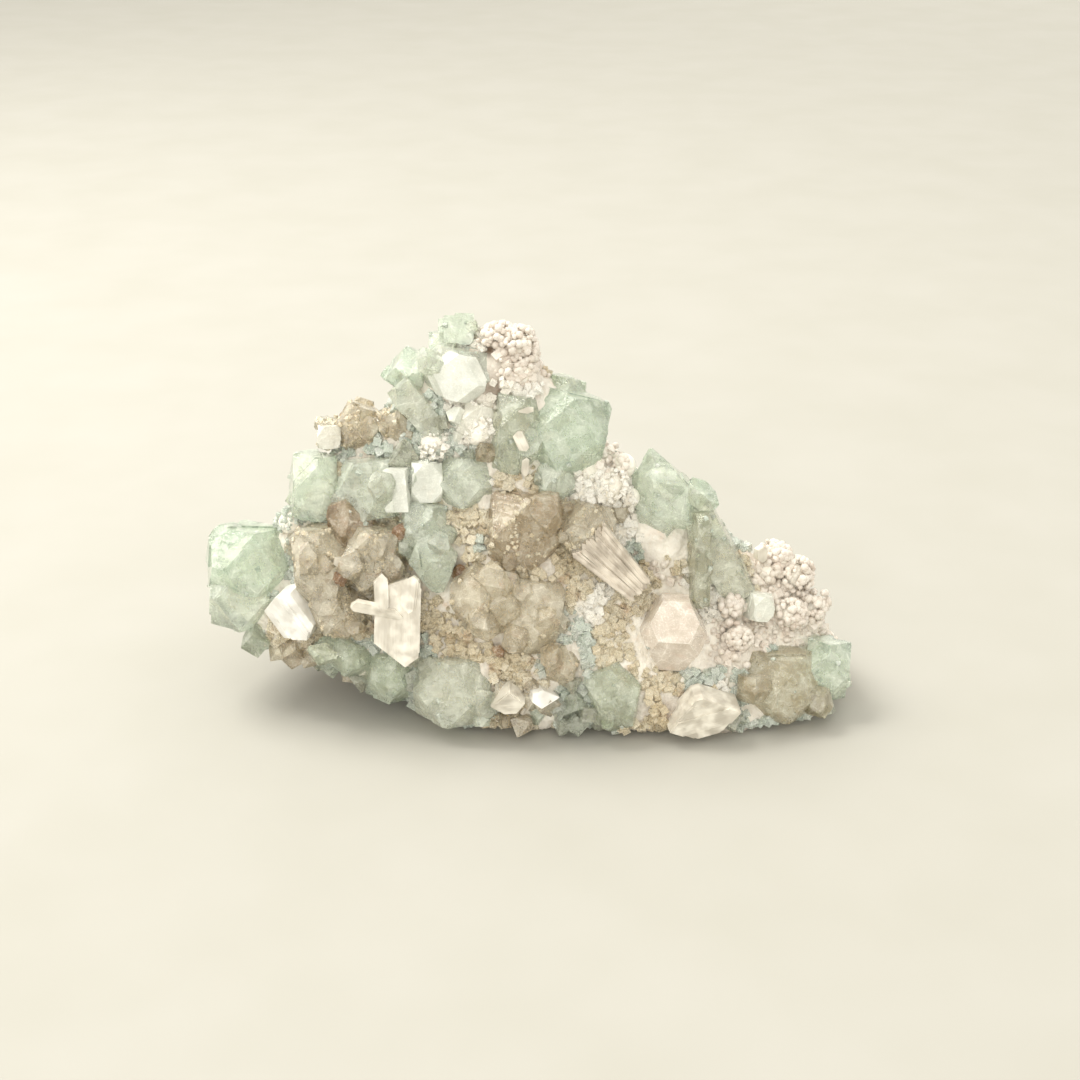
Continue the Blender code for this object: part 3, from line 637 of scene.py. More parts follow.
# Brown and rusty hollows in the rock, and a dark crevice: middle, radius and how brown or dark. Their dark is
# iron stain, but in the crevice at (-4.4, -2.0, 35.8) it is painted shade.
hollows = (
    ((-4.3, -10.9, 9.6), 2.0, 0.7), ((-9.8, -10.3, 10.5), 3.2, 0.55), ((-8.7, -6.6, 17.2), 1.8, 0.9),
    ((-15.2, -5.5, 21.5), 1.8, 0.9), ((-21.6, -8.3, 16.8), 1.8, 0.9), ((13.1, -12.6, 3.0), 2.6, 0.75),
    # (-4.4, -2.0, 35.8) is the dark crevice: its darkness is painted shade.
    ((-5.4, 1.5, 39.5), 0.9, 1.0), ((-4.4, -2.0, 35.8), 2.2, 1.0), ((10.9, -4.9, 17.5), 2.0, 0.7),
    ((2.0, -6.0, 18.0), 3.0, 0.4), ((20.0, -9.0, 7.5), 2.0, 0.4),
)

# Nearness to a mark in the layout: exp(-(distance / radius)^2), from 1 in its middle to 0 far away.
def nearness(places, at, radius):
    return np.exp(-((places - np.array(at) - shift) ** 2).sum(1) / radius ** 2)


# How far a place is out of the hollows, from 0 in their middles to 1 outside. Colours darkened by it carry
# stain, and painted shade at the crevice.
def outOfHollows(places):
    return 1 - np.max([brown * nearness(places, at, radius) for at, radius, brown in hollows], 0)


# The white sheaves stand clear of the small crystals: middle and reach.
keptClear = (((-26.9, -7.6, 12.2), 4.2), ((8.0, -9.4, 18.5), 3.4), ((-15.5, -11.6, 13.2), 3.6))
# Each large crystal carries smaller ones that grew on it: how many, how many where they crowd, their size as
# a share of its own, how far they lean from it in degrees, and the plates and steps on each.
companions = {"count": 4, "crowd": 9, "share": (0.22, 0.5), "spread": 14.0, "steps": 2, "depth": 0.12}


# A companion starts at a point on the crystal's surface, away from its upper end.
def companionsOf(crystal):
    size, made = crystal["size"], []
    crowded = crystal["coat"] == "brown"
    for number in range(crystal.get("companions", companions["crowd" if crowded else "count"])):
        local = random.uniform(-0.42, 0.42, 3) * size
        axis = random.integers(0, 2) if crowded else 0
        local[axis] = random.choice((-0.42, 0.42)) * size[axis]
        local[2] = random.uniform(-0.38, 0.4 if crowded else 0.15) * size[2]
        extent = random.uniform(*companions["share"]) * size * random.uniform(0.8, 1.25, 3)
        made.append(block(crystal["at"] + crystal["axes"] @ local, extent,
                          crystal["turn"] + random.normal(0, companions["spread"], 3),
                          extent[2] * 0.5 + extent[0] * random.uniform(0.35, 0.75, 2),
                          np.clip(crystal["tint"] + random.uniform(-0.25, 0.25), 0, 1),
                          np.clip(crystal["warm"] + random.uniform(-0.1, 0.25), 0, 1), small=True))
    return made


# Pale crystals between the green ones, and small rusty ones in the hollows of the rock.
paleCrystals = [
    block((-15.0, -3.3, 25.5), (2.7, 4.4, 4.9), (-4, -12, -14), (7.0, 7.0), 1.0),
    block((-6.6, -0.9, 32.4), (4.4, 3.4, 3.6), (18, -14, 10), (4.6, 5.0), 0.9, 0.4),
    block((-8.8, -0.5, 37.2), (6.4, 2.4, 5.0), (14, -12, -8), (4.4, 4.8), 1.0),
    block((-12.4, -3.2, 26.2), (3.6, 3.0, 4.4), (3, -12, 10), (4.6, 4.8), 0.9),
    block((-23.2, 1.5, 29.6), (2.6, 2.4, 2.6), (0, -10, 8), (3.2, 3.6), 0.9, 0.5),
    block((24.2, -5.2, 12.0), (2.8, 3.0, 3.0), (10, -12, 20), (3.6, 4.0), 0.7)]
rustyCrystals = [
    block((-21.6, -8.2, 16.9), (1.5, 1.4, 1.8), (-20, -10, 30), (1.3, 1.5), 0.2),
    block((-15.0, -6.2, 21.6), (1.9, 1.6, 1.8), (24, -10, 20), (1.5, 1.7), 0.3),
    block((-8.8, -7.4, 17.3), (1.8, 1.5, 1.5), (-30, -10, 15), (1.4, 1.6), 0.3),
    block((-4.4, -11.8, 9.9), (2.0, 1.4, 1.1), (50, -10, 10), (1.3, 1.4), 0.4)]
brownGroups = ("apophyllite_smoky", "apophyllite_centre", "apophyllite_centre_low", "apophyllite_brown_left")
# Plates on a large crystal, height of its steps, and how wide its edges are worn: all, and the pearly one.
growth = {"steps": 8, "depth": 0.3, "worn": 0.13, "pearlyWorn": 0.052}
between = {"steps": 4, "depth": 0.15, "worn": 0.08}      # the same for the pale and rusty crystals

allBlocks = []
for number, (node, crystals) in enumerate(apophylliteGroups.items()):
    random = np.random.default_rng((52, number))      # each group has its own draws
    kind = "brown" if node in brownGroups else "pearly" if node == "apophyllite_pearly" else "green"
    finish, slot = glasses[kind]
    members = list(crystals)
    for crystal in crystals:
        crystal.setdefault("coat", "brown" if kind == "brown" else "green")
        crystal["blocks"] = growthBlocks(crystal["size"], crystal["caps"],
                                         crystal.get("steps", growth["steps"]), growth["depth"])
        allBlocks.append(crystal)
        for small in companionsOf(crystal):
            hiding = any(np.linalg.norm(small["at"] - at) < reach for at, reach in keptClear)
            if not hiding and outOfHollows(small["at"][None] + shift)[0] >= 0.6:
                small["blocks"] = growthBlocks(small["size"], small["caps"], companions["steps"],
                                               companions["depth"])
                members.append(small)
    piece = grownTogether(node.replace("apophyllite_", "apophyllite.") + ".grown", members, finish,
                          frostAndHighlightEdge, growth["pearlyWorn" if kind == "pearly" else "worn"])
    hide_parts(node)
for kind, members in (("pale", paleCrystals), ("rusty", rustyCrystals)):
    for crystal in members:
        crystal["blocks"] = growthBlocks(crystal["size"], crystal["caps"], between["steps"], between["depth"])
        allBlocks.append(crystal)
    finish, slot = glasses[kind]
    piece = grownTogether("apophyllite." + kind + ".grown", members, finish, frostAndHighlightEdge, between["worn"])
print("apophyllite blocks grown:", len(allBlocks))

stilbiteGroups = {
    "stilbite_left": [block((-26.9, -7.0, 12.0), (4.4, 3.6, 6.0), (-35, -10, -15), (16, 30))],
    "stilbite_blade": [block((-15.4, -11.0, 13.1), (5.0, 2.2, 9.8), (2, -20, 5), (20, 37), ridge=0.4),
                       block((-17.0, -10.7, 16.4), (1.5, 1.6, 4.4), (-2, -20, 9), (48, 40)),
                       block((-13.9, -10.6, 16.2), (1.7, 1.5, 4.2), (7, -20, -6), (35, 40)),
                       block((-17.4, -11.4, 14.8), (1.2, 1.1, 5.8), (103, 0, 0), (55, 40))],
    "stilbite_fan": [block((8.0, -8.0, 18.5), (4.0, 2.5, 9.0), (-45, -5, 5), (50, 50))],
    "stilbite_foot": [block((-3.5, -14.0, 5.5), (3.0, 2.4, 3.8), (85, 0, 10), (40, 50))],
    "stilbite_white": [block((0.5, -13.8, 5.5), (3.3, 2.4, 2.2), (5, -10, 14), (24, 34), ridge=-0.3)],
    "stilbite_front": [block((17.5, -13.5, 3.7), (5.2, 3.5, 8.2), (75, -5, 10), (50, 50))],
}
# Small white bits that sit on the crystals.
bits = [
    block((-2.0, -4.0, 31.2), (1.2, 1.0, 2.4), (-24, -10, 0), (24, 30)),
    block((-1.6, -4.4, 28.4), (0.8, 0.8, 2.2), (6, -10, 0), (40, 50)),
    block((-1.5, -3.2, 34.4), (1.7, 0.8, 0.7), (-6, -10, 0), (15, 15)),
    block((-14.6, -0.4, 29.6), (0.9, 0.8, 0.9), (0, -10, 20), (20, 20)),
    block((-21.2, -8.0, 18.6), (2.2, 1.2, 1.5), (14, -20, 10), (12, 20)),
    block((-19.4, -7.4, 20.0), (2.6, 1.0, 1.0), (-35, -10, 0), (15, 20)),
    block((24.4, -2.6, 17.2), (1.2, 1.2, 1.9), (4, -10, 20), (30, 30))]
# Plates on a sheaf and on a bit, how wide their edges are worn, and the fan's laths and its angle in degrees.
sheafGrowth = {"plates": 5, "bitPlates": 2, "worn": 0.04, "bitWorn": 0.03, "laths": 14, "spread": 13.0}
# The left and the white sheaves take the laths painted lighter, as painted light against their shade.
sheafFinishes = {"stilbite_fan": beigeSheaf, "stilbite_left": lighterPaintedSheaf, "stilbite_white": lighterPaintedSheaf}
random = np.random.default_rng(43)
for node, sheaves in stilbiteGroups.items():
    allBlocks += sheaves
    if node == "stilbite_fan":
        members = fanMembers(sheaves[0], sheafGrowth["laths"], sheafGrowth["spread"])
    else:
        members = sheaves
        for sheaf in sheaves:
            sheaf["blocks"] = bladeBlocks(sheaf["size"], sheaf["caps"], sheafGrowth["plates"],
                                          sheaf.get("ridge", 0.2))
    finish = sheafFinishes.get(node, whiteSheaf)
    piece = grownTogether(node.replace("stilbite_", "stilbite.") + ".sheaf", members, finish, finish,
                          sheafGrowth["worn"])
    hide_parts(node)
for bit in bits:
    bit["blocks"] = bladeBlocks(bit["size"], bit["caps"], sheafGrowth["bitPlates"])
piece = grownTogether("stilbite.bits.sheaf", bits, whiteSheaf, whiteSheaf, sheafGrowth["bitWorn"])
print("stilbite sheaves grown:", len(stilbiteGroups))

# Rock

# The rock, section by section along X: bottom, top, front, back and the ridge's Y.
rockProfile = np.array((
    (-35.0, 11.0, 14.0, -3.0, 2.0, -1.0), (-32.0, 8.6, 17.5, -5.0, 4.5, -1.0),
    (-27.5, 7.4, 21.0, -7.0, 8.0, 0.0), (-22.0, 4.8, 27.5, -8.5, 11.0, 2.0),
    (-17.0, 2.6, 32.0, -10.0, 13.5, 3.0), (-12.0, 0.6, 37.5, -11.5, 15.5, 3.5),
    (-8.0, -0.6, 39.5, -12.5, 17.0, 3.5), (-4.0, -0.8, 40.0, -13.0, 17.5, 3.0),
    (0.0, -0.8, 36.5, -13.0, 17.5, 2.0), (5.0, -0.8, 31.5, -13.0, 17.0, 1.0),
    (9.0, -0.8, 26.5, -13.0, 16.5, 0.5), (14.0, -0.8, 22.5, -13.0, 15.5, 0.0),
    (19.0, -0.8, 19.0, -12.5, 14.0, -0.5), (24.0, -0.6, 15.5, -11.5, 12.0, -1.0),
    (28.5, -0.2, 12.5, -10.0, 9.5, -1.5), (32.0, 1.0, 7.5, -8.0, 5.5, -2.0),
    (34.0, 2.6, 5.0, -6.0, 1.0, -2.5)))
# How far out from a section's middle, and how far up, from 0 to 1, at the front and at the back.
rockFront = ((0.55, 0.0), (0.92, 0.05), (0.98, 0.16), (0.78, 0.38), (0.44, 0.66), (0.24, 0.90))
rockBack = ((0.55, 0.0), (0.90, 0.06), (1.0, 0.20), (0.92, 0.44), (0.66, 0.74), (0.34, 0.93))


# Values on a curve that is smooth through the stations: cubic Hermite, with slopes from the neighbours.
def smoothBetween(stations, values, wanted):
    slopes = np.gradient(values, stations)
    index = np.clip(np.searchsorted(stations, wanted) - 1, 0, len(stations) - 2)
    span = stations[index + 1] - stations[index]
    t = (wanted - stations[index]) / span
    return ((2 * t ** 3 - 3 * t ** 2 + 1) * values[index] + (t ** 3 - 2 * t ** 2 + t) * span * slopes[index]
            + (3 * t ** 2 - 2 * t ** 3) * values[index + 1] + (t ** 3 - t ** 2) * span * slopes[index + 1])


# The rock's skin: u runs along X and v round each section, which is stretched to the section's size.
def rockSkin(alongCount, aroundCount):
    along = np.linspace(rockProfile[0, 0], rockProfile[-1, 0], alongCount)
    bottom, top, front, back, ridge = (
        smoothBetween(rockProfile[:, 0], rockProfile[:, column], along)[:, None] for column in range(1, 6))
    outline = [(0.0, 0.0), *((-out, up) for out, up in rockFront), (0.0, 1.0), *rockBack[::-1]]
    outline = np.array(outline + outline[:1])
    steps = np.linspace(0, len(outline) - 1, aroundCount, endpoint=False)
    across, up = (smoothBetween(np.arange(len(outline)), outline[:, i], steps) for i in (0, 1))
    middle = (front + back) / 2
    return np.stack([along[:, None] + 0 * across,
                     middle + across * (back - front) / 2 + (ridge - middle) * up,
                     bottom + up * (top - bottom)], -1)


# Outward direction at each point of a grid that closes round its second index: the cross product of the two
# steps to the neighbours.
def gridNormals(grid):
    return unit(np.cross(np.roll(grid, -1, 1) - np.roll(grid, 1, 1), np.gradient(grid, axis=0)))


# Points held inside the solids' box.
def heldInBox(points):
    return np.clip(points, boxLow + margin, boxHigh - margin)


# Points along and round the rock, and the height and size of its lumps, its crumbs and its finest grain.
rockMesh = {"along": 310, "around": 200, "lumps": 0.7, "lumpSize": 3.4, "crumbs": 0.22, "crumbSize": 0.9,
            "grain": 0.12, "grainSize": 0.45}
grid = rockSkin(rockMesh["along"], rockMesh["around"])
outward = gridNormals(grid)
lift = (rockMesh["lumps"] * roughNoise(grid, rockMesh["lumpSize"], 3, 11)
        + rockMesh["crumbs"] * (domes(grid, rockMesh["crumbSize"], 5) * 1.6 - 0.8)
        + rockMesh["grain"] * roughNoise(grid, rockMesh["grainSize"], 2, 31))
skin = heldInBox(grid + outward * lift[..., None] + shift)
rockPoints = np.concatenate([skin.reshape(-1, 3), skin[:1].mean(1), skin[-1:].mean(1)])
quads = ringQuads(rockMesh["around"], rockMesh["along"])
faces = quads.tolist() + endTriangles(rockMesh["around"], rockMesh["along"]).tolist()
rock = makeMesh("matrix.rock", rockPoints, faces, rockFinish, True)
# Raised crumbs are painted paler and low spots darker, as painted light and shade; the hollows are dark, as
# stain, and as painted shade in the crevice.
tints = 0.8 + 0.3 * roughNoise(rockPoints, 6.0, 3, 71) + 0.35 * np.append(lift.ravel(), (0, 0))
setAttribute(rock.data, "tint", "FLOAT", "POINT", np.clip(tints, 0.2, 1) * outOfHollows(rockPoints))
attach(rock, "root")
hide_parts("matrix")
print("rock skin:", len(faces), "faces")

# Druse

# Small crystals as rings of eight corners up their axes, all at once: at height z the outline is the square
# |x|, |y| <= a cut by |x| + |y| <= R(z), so the corners are (a, q) and (q, a) with q = R - a.
def smallCrystals(places, directions, sizes, tall, caps, twists):
    ratio = math.sqrt(2) / math.tan(pyramidSlope)
    half = sizes / 2
    point = tall * caps                                 # where the pyramid would come to a point
    levels = np.stack([-0.7 * tall, point - 2 * half / ratio, point - half / ratio, tall], 1)
    levels = np.clip(np.sort(levels, 1), (-0.7 * tall)[:, None], tall[:, None])
    levels += np.arange(4) * 0.004                      # no two rings at one height
    room = ratio * np.maximum(point[:, None] - levels, 0.02)
    wide = np.minimum(half[:, None], room)
    cut = np.clip(room - wide, 0.03 * wide, 0.97 * wide)
    signs = np.array(((1, 1, 0), (1, 1, 1), (-1, 1, 1), (-1, 1, 0), (-1, -1, 0), (-1, -1, 1), (1, -1, 1),
                      (1, -1, 0)))
    x = signs[:, 0] * np.where(signs[:, 2], cut[..., None], wide[..., None])
    y = signs[:, 1] * np.where(signs[:, 2], wide[..., None], cut[..., None])
    up = unit(directions)
    side = unit(np.cross(up, np.where(np.abs(up[:, 2:]) > 0.9, (1.0, 0.0, 0.0), (0.0, 0.0, 1.0))))
    turnX = side * np.cos(twists)[:, None] + np.cross(up, side) * np.sin(twists)[:, None]
    own = np.stack([x, y, np.broadcast_to(levels[..., None], x.shape)], -1)
    axes = np.stack([turnX, np.cross(up, turnX), up], 1)
    base = np.array(((3, 2, 1, 0), (7, 4, 3, 0), (7, 6, 5, 4)))
    lid = np.array(((0, 1, 2, 3), (0, 3, 4, 7), (4, 5, 6, 7))) + 24
    return (places[:, None, None] + np.einsum("nlci,nij->nlcj", own, axes),
            [np.concatenate([ringQuads(8, 4), base, lid])])


# Sugary grains: a square prism with a blunt four-sided point, as three rings of four corners and two lids.
def grains(places, directions, sizes, tall, tips):
    up = unit(directions)
    side = unit(np.cross(up, random.normal(size=up.shape)))
    front = np.cross(up, side)
    wide = sizes[:, None] / 2 * np.stack([np.ones_like(tips), np.ones_like(tips), tips], 1)
    high = tall[:, None] * np.array((-0.6, 0.3, 1.0))
    signs = np.array(((1, 1), (-1, 1), (-1, -1), (1, -1)))
    outline = signs[:, :1] * side[:, None, None] + signs[:, 1:] * front[:, None, None]
    points = places[:, None, None] + up[:, None, None] * high[..., None, None] + wide[..., None, None] * outline
    return points, [np.concatenate([ringQuads(4, 3), [[3, 2, 1, 0], [8, 9, 10, 11]]])]


# Spherules: rings of latitude between two poles, stretched a little each its own way, all at once.
def spherules(places, radii, around=7, rings=3):
    latitude = np.linspace(-math.pi / 2, math.pi / 2, rings + 2)[1:-1, None]
    longitude = np.arange(around) * 2 * math.pi / around
    ball = np.stack([np.cos(latitude) * np.cos(longitude), np.cos(latitude) * np.sin(longitude),
                     np.sin(latitude) + 0 * longitude], -1).reshape(-1, 3)
    ball = np.concatenate([ball, [[0, 0, -1], [0, 0, 1]]])
    turn = np.linalg.qr(random.normal(size=(len(places), 3, 3)))[0]
    turn[:, :, 0] *= np.sign(np.linalg.det(turn))[:, None]
    stretch = radii[:, None] * random.uniform(0.85, 1.15, (len(places), 3))
    return (places[:, None] + np.einsum("pk,nk,nik->npi", ball, stretch, turn),
            [ringQuads(around, rings), endTriangles(around, rings)])


# How deep each place is inside the nearest large crystal, in millimetres; negative outside.
def depthInCrystals(places):
    deepest = np.full(len(places), -99.0)
    for crystal in allBlocks:
        near = (places - crystal["at"] - shift) @ crystal["axes"]
        deepest = np.maximum(deepest, (crystal["size"] / 2 - np.abs(near)).min(1))
    return deepest


# Knobs that stand on the rock: middle, radius and what covers them.
knobs = (
    ((-4.6, 2.6, 40.4), 2.0, "pink"), ((-2.6, 2.6, 39.4), 2.2, "pink"), ((-2.2, 1.0, 37.2), 1.9, "pink"),
    ((-1.4, 2.2, 36.4), 1.8, "pink"), ((-5.8, 0.4, 34.6), 2.3, "white"), ((9.2, -1.2, 27.2), 1.6, "pink"),
    ((7.4, -2.8, 25.4), 2.2, "white"), ((9.8, -2.6, 24.0), 1.5, "white"), ((26.6, -0.6, 16.0), 1.8, "pink"),
    ((28.4, -1.4, 14.0), 1.9, "pink"), ((25.2, -2.0, 14.6), 1.6, "pink"), ((30.4, -2.2, 10.0), 2.0, "pink"),
    ((28.0, -4.6, 10.6), 1.8, "pink"), ((21.6, -7.6, 9.4), 1.7, "pink"),
    ((21.2, -6.2, 12.6), 1.3, "pink"), ((-27.6, -1.2, 20.4), 1.8, "green"),
    ((-16.6, 1.4, 27.4), 2.2, "brown"), ((-11.4, -0.8, 30.0), 2.2, "white"),
    ((-6.6, -1.6, 31.6), 2.0, "white"),
)
# Patches of druse: middle, radius and kind.
patches = (
    ((-6.4, -1.6, 34.9), 5.0, "white"), ((-3.2, 0.3, 38.8), 3.6, "pink"), ((7.5, -4.9, 24.7), 4.6, "white"),
    ((7.6, -1.9, 28.1), 2.6, "pink"), ((27.8, -2.0, 16.1), 4.0, "pink"), ((30.0, -4.0, 10.0), 5.5, "pink"),
    ((22.0, -8.0, 10.0), 3.4, "pink"), ((12.0, -12.9, 3.3), 3.5, "brown"), ((20.6, -6.0, 14.3), 4.0, "white"),
    ((-15.2, -5.5, 21.4), 4.5, "brown"), ((-21.6, -8.3, 16.8), 5.5, "brown"),
    ((-9.8, -9.6, 12.6), 5.0, "brown"),
    ((-4.3, -10.9, 9.6), 3.5, "brown"), ((6.5, -7.7, 14.1), 3.0, "white"), ((9.0, -8.5, 12.0), 3.5, "brown"),
    ((2.0, -6.0, 18.0), 5.0, "brown"),
    ((-30.0, -1.0, 16.0), 5.0, "green"), ((-16.0, -9.0, 7.0), 5.0, "green"),
    ((-9.0, -12.0, 4.0), 4.0, "green"),
    ((4.0, -12.0, 4.0), 4.0, "green"), ((-1.0, -12.5, 2.5), 3.0, "brown"), ((9.0, -11.5, 9.0), 3.0, "brown"),
    ((26.0, -8.0, 4.0), 4.0, "green"), ((2.0, -9.0, 9.0), 4.0, "green"), ((-12.0, 2.0, 30.0), 5.0, "green"),
)
kinds = ("white", "pink", "brown", "green")
# Grains and spherules: places tried, sizes, how far they lean, how high they heap, and, kind by kind, the share
# that are spherules and how much the kind is favoured. Patchy: how much noise breaks the patches up.
druse = {"places": 24000, "size": (0.35, 1.0), "lean": 0.5, "heap": 0.7, "ball": (0.2, 0.5),
         "balls": (0.2, 0.8, 0.05, 0.0), "favoured": (0.0, 0.05, 0.16, 0.1), "patchy": 0.25}
# Medium crystals: places tried, widths, how far they lean, how close they stand, and the share of a kind kept.
medium = {"places": 4000, "size": (1.0, 2.6), "lean": 0.7, "apart": 0.75,
          "share": {"green": 1.0, "brown": 0.9, "white": 0.25}}
# Knobs: spherules over each square of a core's radius, their radii, how lumpy a knob is, and the core's share.
knobCover = {"spherules": 40, "size": (0.24, 0.52), "lumps": 0.3, "core": 0.8}
coat = {"brown": 2.2, "green": 0.15, "size": (0.2, 0.55)}     # grains a square millimetre, and their width


# The share of each kind of druse at each place: how near its patches are, broken up by noise.
def kindWeights(places):
    near = {wanted: [nearness(places, at, radius) for at, radius, kind in patches if kind == wanted]
            for wanted in kinds}
    weights = np.stack([np.max(near[kind], 0) for kind in kinds], 1)
    noise = np.stack([roughNoise(places, 5.0, 2, 90 + i) for i in range(len(kinds))], 1)
    return weights + druse["patchy"] * noise + np.array(druse["favoured"])


corners = rockPoints[quads]
area = np.linalg.norm(np.cross(corners[:, 2] - corners[:, 0], corners[:, 3] - corners[:, 1]), axis=1) / 2


# Random places on the rock's skin, as likely as their area, with the way out of the rock there.
def placesOnRock(count):
    chosen = random.choice(len(area), count, p=area / area.sum())
    return corners[chosen].mean(1), outward[:-1].reshape(-1, 3)[chosen]


# The solids that lie wholly inside the CAD solids' box and above the resting surface.
def withinBox(solids):
    return solids[((solids > boxLow) & (solids < boxHigh)).all(axis=tuple(range(1, solids.ndim)))]


# Adds a crust of like solids. Each has its own tint, darker in the hollows, as stain and, at the crevice, as
# painted shade, and a crystal has its own warmth.
def addDruse(name, solids, patterns, finish, slot, crystals=False, smooth=False):
    cluster = manyAlike(name, solids, patterns, finish, smooth)
    points = solids.reshape(len(solids), -1, 3)
    each = points.shape[1]
    tint = random.uniform(0.35, 1, len(solids)) * outOfHollows(points.mean(1))
    setAttribute(cluster.data, "tint", "FLOAT", "POINT", np.repeat(tint, each))
    if crystals:
        setAttribute(cluster.data, "inCrystal", "FLOAT_VECTOR", "POINT", points)
        warm = random.uniform(0, 0.5, len(solids))
        setAttribute(cluster.data, "warm", "FLOAT", "POINT", np.repeat(warm, each))
    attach(cluster, "root")
    print(name + ":", len(solids))


slots = {"white": "matrix", "pink": "matrix", "brown": "matrix", "green": "green_apophyllite"}
loosePlaces = {kind: [] for kind in kinds}     # where sugary grains go, and which way they point
looseWays = {kind: [] for kind in kinds}

# Knobs: a core, and spherules or grains all over it.
random = np.random.default_rng(44)
middles = np.array([at for at, *_ in knobs]) + shift
cores = np.array([radius for _, radius, _ in knobs])
cover = np.array([kind for *_, kind in knobs])
which = np.repeat(np.arange(len(knobs)), np.round(knobCover["spherules"] * cores ** 2).astype(int))
directions = unit(random.normal(size=(len(which), 3)))
radii = random.uniform(*knobCover["size"], len(which))
lumpy = 1 + knobCover["lumps"] * roughNoise(middles[which] + directions * 1.5, 1.6, 2, 55)
places = middles[which] + directions * (cores[which] * lumpy - 0.35 * radii)[:, None]
keep = (outOfHollows(places) > 0.45) & (depthInCrystals(places) < 0.3) & (places[:, 2] > 0.6)
places, directions, radii, which = places[keep], directions[keep], radii[keep], which[keep]
for kind in kinds:
    mine = cover[which] == kind
    if kind == "pink":
        solids, patterns = spherules(places[mine], radii[mine])
        addDruse("druse.pink_knobs", heldInBox(solids), patterns, druseFinishes[kind], slots[kind],
                 smooth=True)
    else:
        loosePlaces[kind].append(places[mine])
        looseWays[kind].append(directions[mine])
solids, patterns = spherules(middles, cores * knobCover["core"], 24, 14)
solids = heldInBox(solids)
heap = manyAlike("matrix.knobs", solids, patterns, rockFinish, True)
# The cores are darker in the hollows: stain, and painted shade at the crevice.
setAttribute(heap.data, "tint", "FLOAT", "POINT", outOfHollows(solids.reshape(-1, 3)))
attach(heap, "root")

# Medium crystals: each keeps clear of the knobs, the underside and those that were placed before it.
random = np.random.default_rng(45)
places, normals = placesOnRock(medium["places"])
sizes = random.uniform(*medium["size"], len(places))
fromKnobs = (np.linalg.norm(places[:, None] - middles, axis=2) - cores).min(1)
keep = (places[:, 2] > 1.2) & (normals[:, 2] > -0.3) & (outOfHollows(places) > 0.9)
keep &= (depthInCrystals(places) < 0.2 * sizes) & (fromKnobs > 0.1 * sizes)
for at, reach in keptClear:
    keep &= np.linalg.norm(places - np.array(at) - shift, axis=1) > reach
places, normals, sizes = places[keep], normals[keep], sizes[keep]
taken = np.zeros(len(places), bool)
for i in range(len(places)):
    distance = np.linalg.norm(places[taken] - places[i], axis=1)
    taken[i] = not np.any(distance < medium["apart"] * (sizes[taken] + sizes[i]) / 2)
places, normals, sizes = places[taken], normals[taken], sizes[taken]
kindOf = kindWeights(places).argmax(1)
for kind, glass in (("green", "green"), ("brown", "brown"), ("white", "pale")):
    mine = (kindOf == kinds.index(kind)) & (random.random(len(places)) < medium["share"][kind])
    on, way, wide = places[mine], normals[mine], sizes[mine]
    directions = way + medium["lean"] * random.normal(size=on.shape)
    tall = wide * random.uniform(0.5, 1.0, len(on))
    solids, patterns = smallCrystals(on - 0.35 * wide[:, None] * way, directions, wide, tall,
                                     random.uniform(1.15, 2.0, len(on)), random.uniform(0, math.pi, len(on)))
    addDruse("apophyllite.small_" + kind, withinBox(solids), patterns, *glasses[glass], crystals=True)

# A sugary coat on the faces of the brown crystals and here and there on the others, behind their pyramids.
random = np.random.default_rng(47)
for crystal in allBlocks:
    if "coat" not in crystal:
        continue
    half, turn = crystal["size"] / 2, crystal["axes"]
    for axis, side in itertools.product(range(3), (-1, 1)):
        spread = 4 * np.prod(np.delete(half, axis))
        local = random.uniform(-1, 1, (random.poisson(spread * coat[crystal["coat"]]), 3)) * half
        local[:, axis] = side * (half[axis] - 0.25)
        tops = faceOut * (np.abs(local[:, 0]) + np.abs(local[:, 1]))
        upper, lower = (faceUp * cap for cap in crystal["caps"])
        local = local[(tops + faceUp * local[:, 2] < upper) & (tops - faceUp * local[:, 2] < lower)]
        loosePlaces[crystal["coat"]].append(local @ turn.T + crystal["at"] + shift)
        looseWays[crystal["coat"]].append(np.repeat((turn @ (side * np.eye(3)[axis]))[None], len(local), 0))

# Druse: sugary grains, and spherules in heaps.
random = np.random.default_rng(46)
places, normals = placesOnRock(druse["places"])
keep = (places[:, 2] > 0.9) & (depthInCrystals(places) < 0.15) & (outOfHollows(places) > 0.3)
places, normals = places[keep], normals[keep]
kindOf = kindWeights(places).argmax(1)
for index, kind in enumerate(kinds):
    mine = np.nonzero(kindOf == index)[0]
    balls, sharp = np.split(mine, [int(len(mine) * druse["balls"][index])])
    if len(balls):
        radii = random.uniform(*druse["ball"], len(balls))
        height = random.uniform(0, druse["heap"], len(balls)) - 0.1
        lifted = places[balls] + normals[balls] * height[:, None]
        lifted += 0.25 * random.normal(size=lifted.shape)
        solids, patterns = spherules(np.clip(lifted, boxLow + 0.5, boxHigh - 0.5), radii)
        addDruse("druse." + kind + "_spherules", heldInBox(solids), patterns, druseFinishes[kind], "matrix",
                 smooth=True)
    on = np.concatenate([places[sharp], *loosePlaces[kind]])
    ways = np.concatenate([normals[sharp], *looseWays[kind]])
    sizes = random.uniform(*druse["size"], len(on))
    sizes[len(sharp):] = random.uniform(*coat["size"], len(on) - len(sharp))
    solids, patterns = grains(on - 0.1 * ways, ways + druse["lean"] * random.normal(size=on.shape), sizes,
                              sizes * random.uniform(0.4, 0.9, len(on)), random.uniform(0.1, 0.8, len(on)))
    addDruse("druse." + kind, withinBox(solids), patterns, druseFinishes[kind], slots[kind])

# Stage

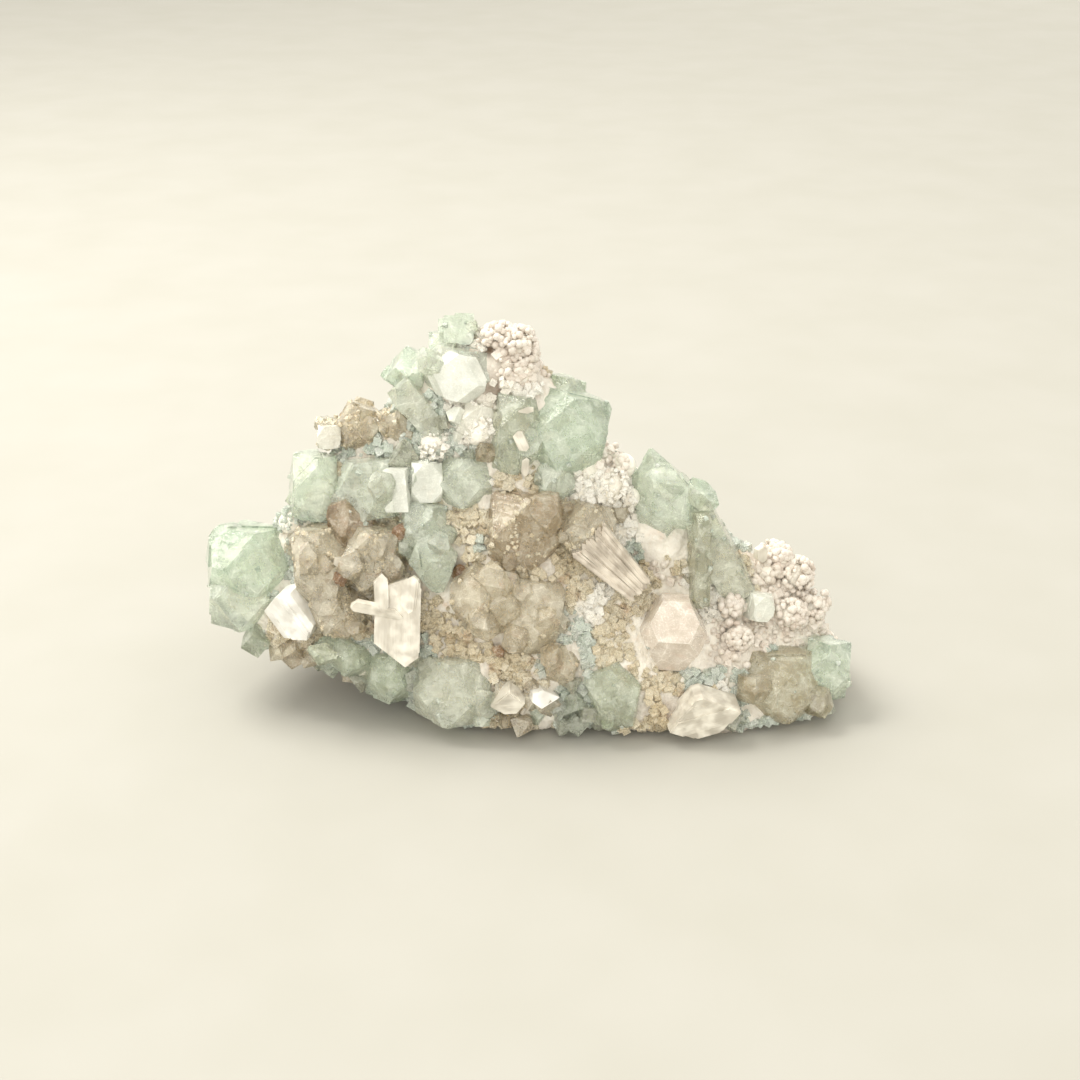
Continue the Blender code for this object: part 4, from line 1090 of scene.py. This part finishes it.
# A wide disc of matte paper, which has faint mottling and no gloss, under a bright, slightly warm sky.
stage = {"floor": "B0AEA7", "mottle": "ADABA3", "world": "F8F5EC", "strength": 1.45, "spokes": 96,
         "rings": (20, 80, 300, 1600), "under": 0.02}
radii = np.array(stage["rings"])[:, None]
angles = np.linspace(0, 2 * math.pi, stage["spokes"], endpoint=False)
disc = np.stack([radii * np.cos(angles), radii * np.sin(angles), 0 * radii * angles - stage["under"]], -1)
hub = np.stack([np.arange(stage["spokes"]), np.roll(np.arange(stage["spokes"]), -1),
                np.full(stage["spokes"], disc[..., 0].size)], -1)
floorFinish, floorTree = newMaterial("matte_paper_floor")
mottle = spots(floorTree, millimetres(floorTree), 18.0, 0.3, 0.7)
floorShader = addNode(floorTree, "BsdfPrincipled", {
    "Roughness": 0.85, "Specular IOR Level": 0.2,
    "Base Color": layered(floorTree, stage["floor"], (mottle, 1.0, stage["mottle"]))})
addNode(floorTree, "OutputMaterial", {"Surface": floorShader})
floor = makeMesh("floor", np.concatenate([disc.reshape(-1, 3), [[0, 0, -stage["under"]]]]),
                 ringQuads(stage["spokes"], len(radii))[:, ::-1].tolist() + hub.tolist(), floorFinish)

world = bpy.data.worlds.new("studio")
bpy.context.scene.world = world
world.use_nodes = True
background = world.node_tree.nodes["Background"]
background.inputs["Color"].default_value = linear(stage["world"])
background.inputs["Strength"].default_value = stage["strength"]


# A soft square light that faces a target, in millimetres.
def softLight(name, at, target, size, power, colour):
    light = bpy.data.lights.new(name, "AREA")
    light.size, light.energy, light.color = size, power, linear(colour)[:3]
    lamp = bpy.data.objects.new(name, light)
    bpy.context.scene.collection.objects.link(lamp)
    lamp.location = Vector(at) * mm
    lamp.rotation_euler = (Vector(target) * mm - lamp.location).to_track_quat("-Z", "Y").to_euler()


softLight("window", (-230, 110, 400), (0, 0, 15), 0.24, 2.0, "FFFCF4")
softLight("frontFill", (-140, -520, 170), (0, 0, 20), 0.5, 0.85, "FFFDF6")
softLight("backFill", (240, 500, 170), (0, 0, 20), 0.5, 0.3, "FFFDF6")

camera = {"distance": 196.0, "elevation": 25.0, "target": np.array((0.0, -5.0, 20.0)) + shift, "lens": 60.0}
lens = bpy.data.cameras.new("camera")
lens.lens, lens.sensor_width, lens.clip_start = camera["lens"], 36.0, 0.005
viewer = bpy.data.objects.new("camera", lens)
bpy.context.scene.collection.objects.link(viewer)
rise = math.radians(camera["elevation"])
away = np.array((0, -math.cos(rise), math.sin(rise))) * camera["distance"]
viewer.location = Vector((camera["target"] + away) * mm)
viewer.rotation_euler = (math.pi / 2 - rise, 0, 0)
bpy.context.scene.camera = viewer
bpy.context.scene.view_settings.view_transform = "Standard"
bpy.data.objects.remove(floorCutter)
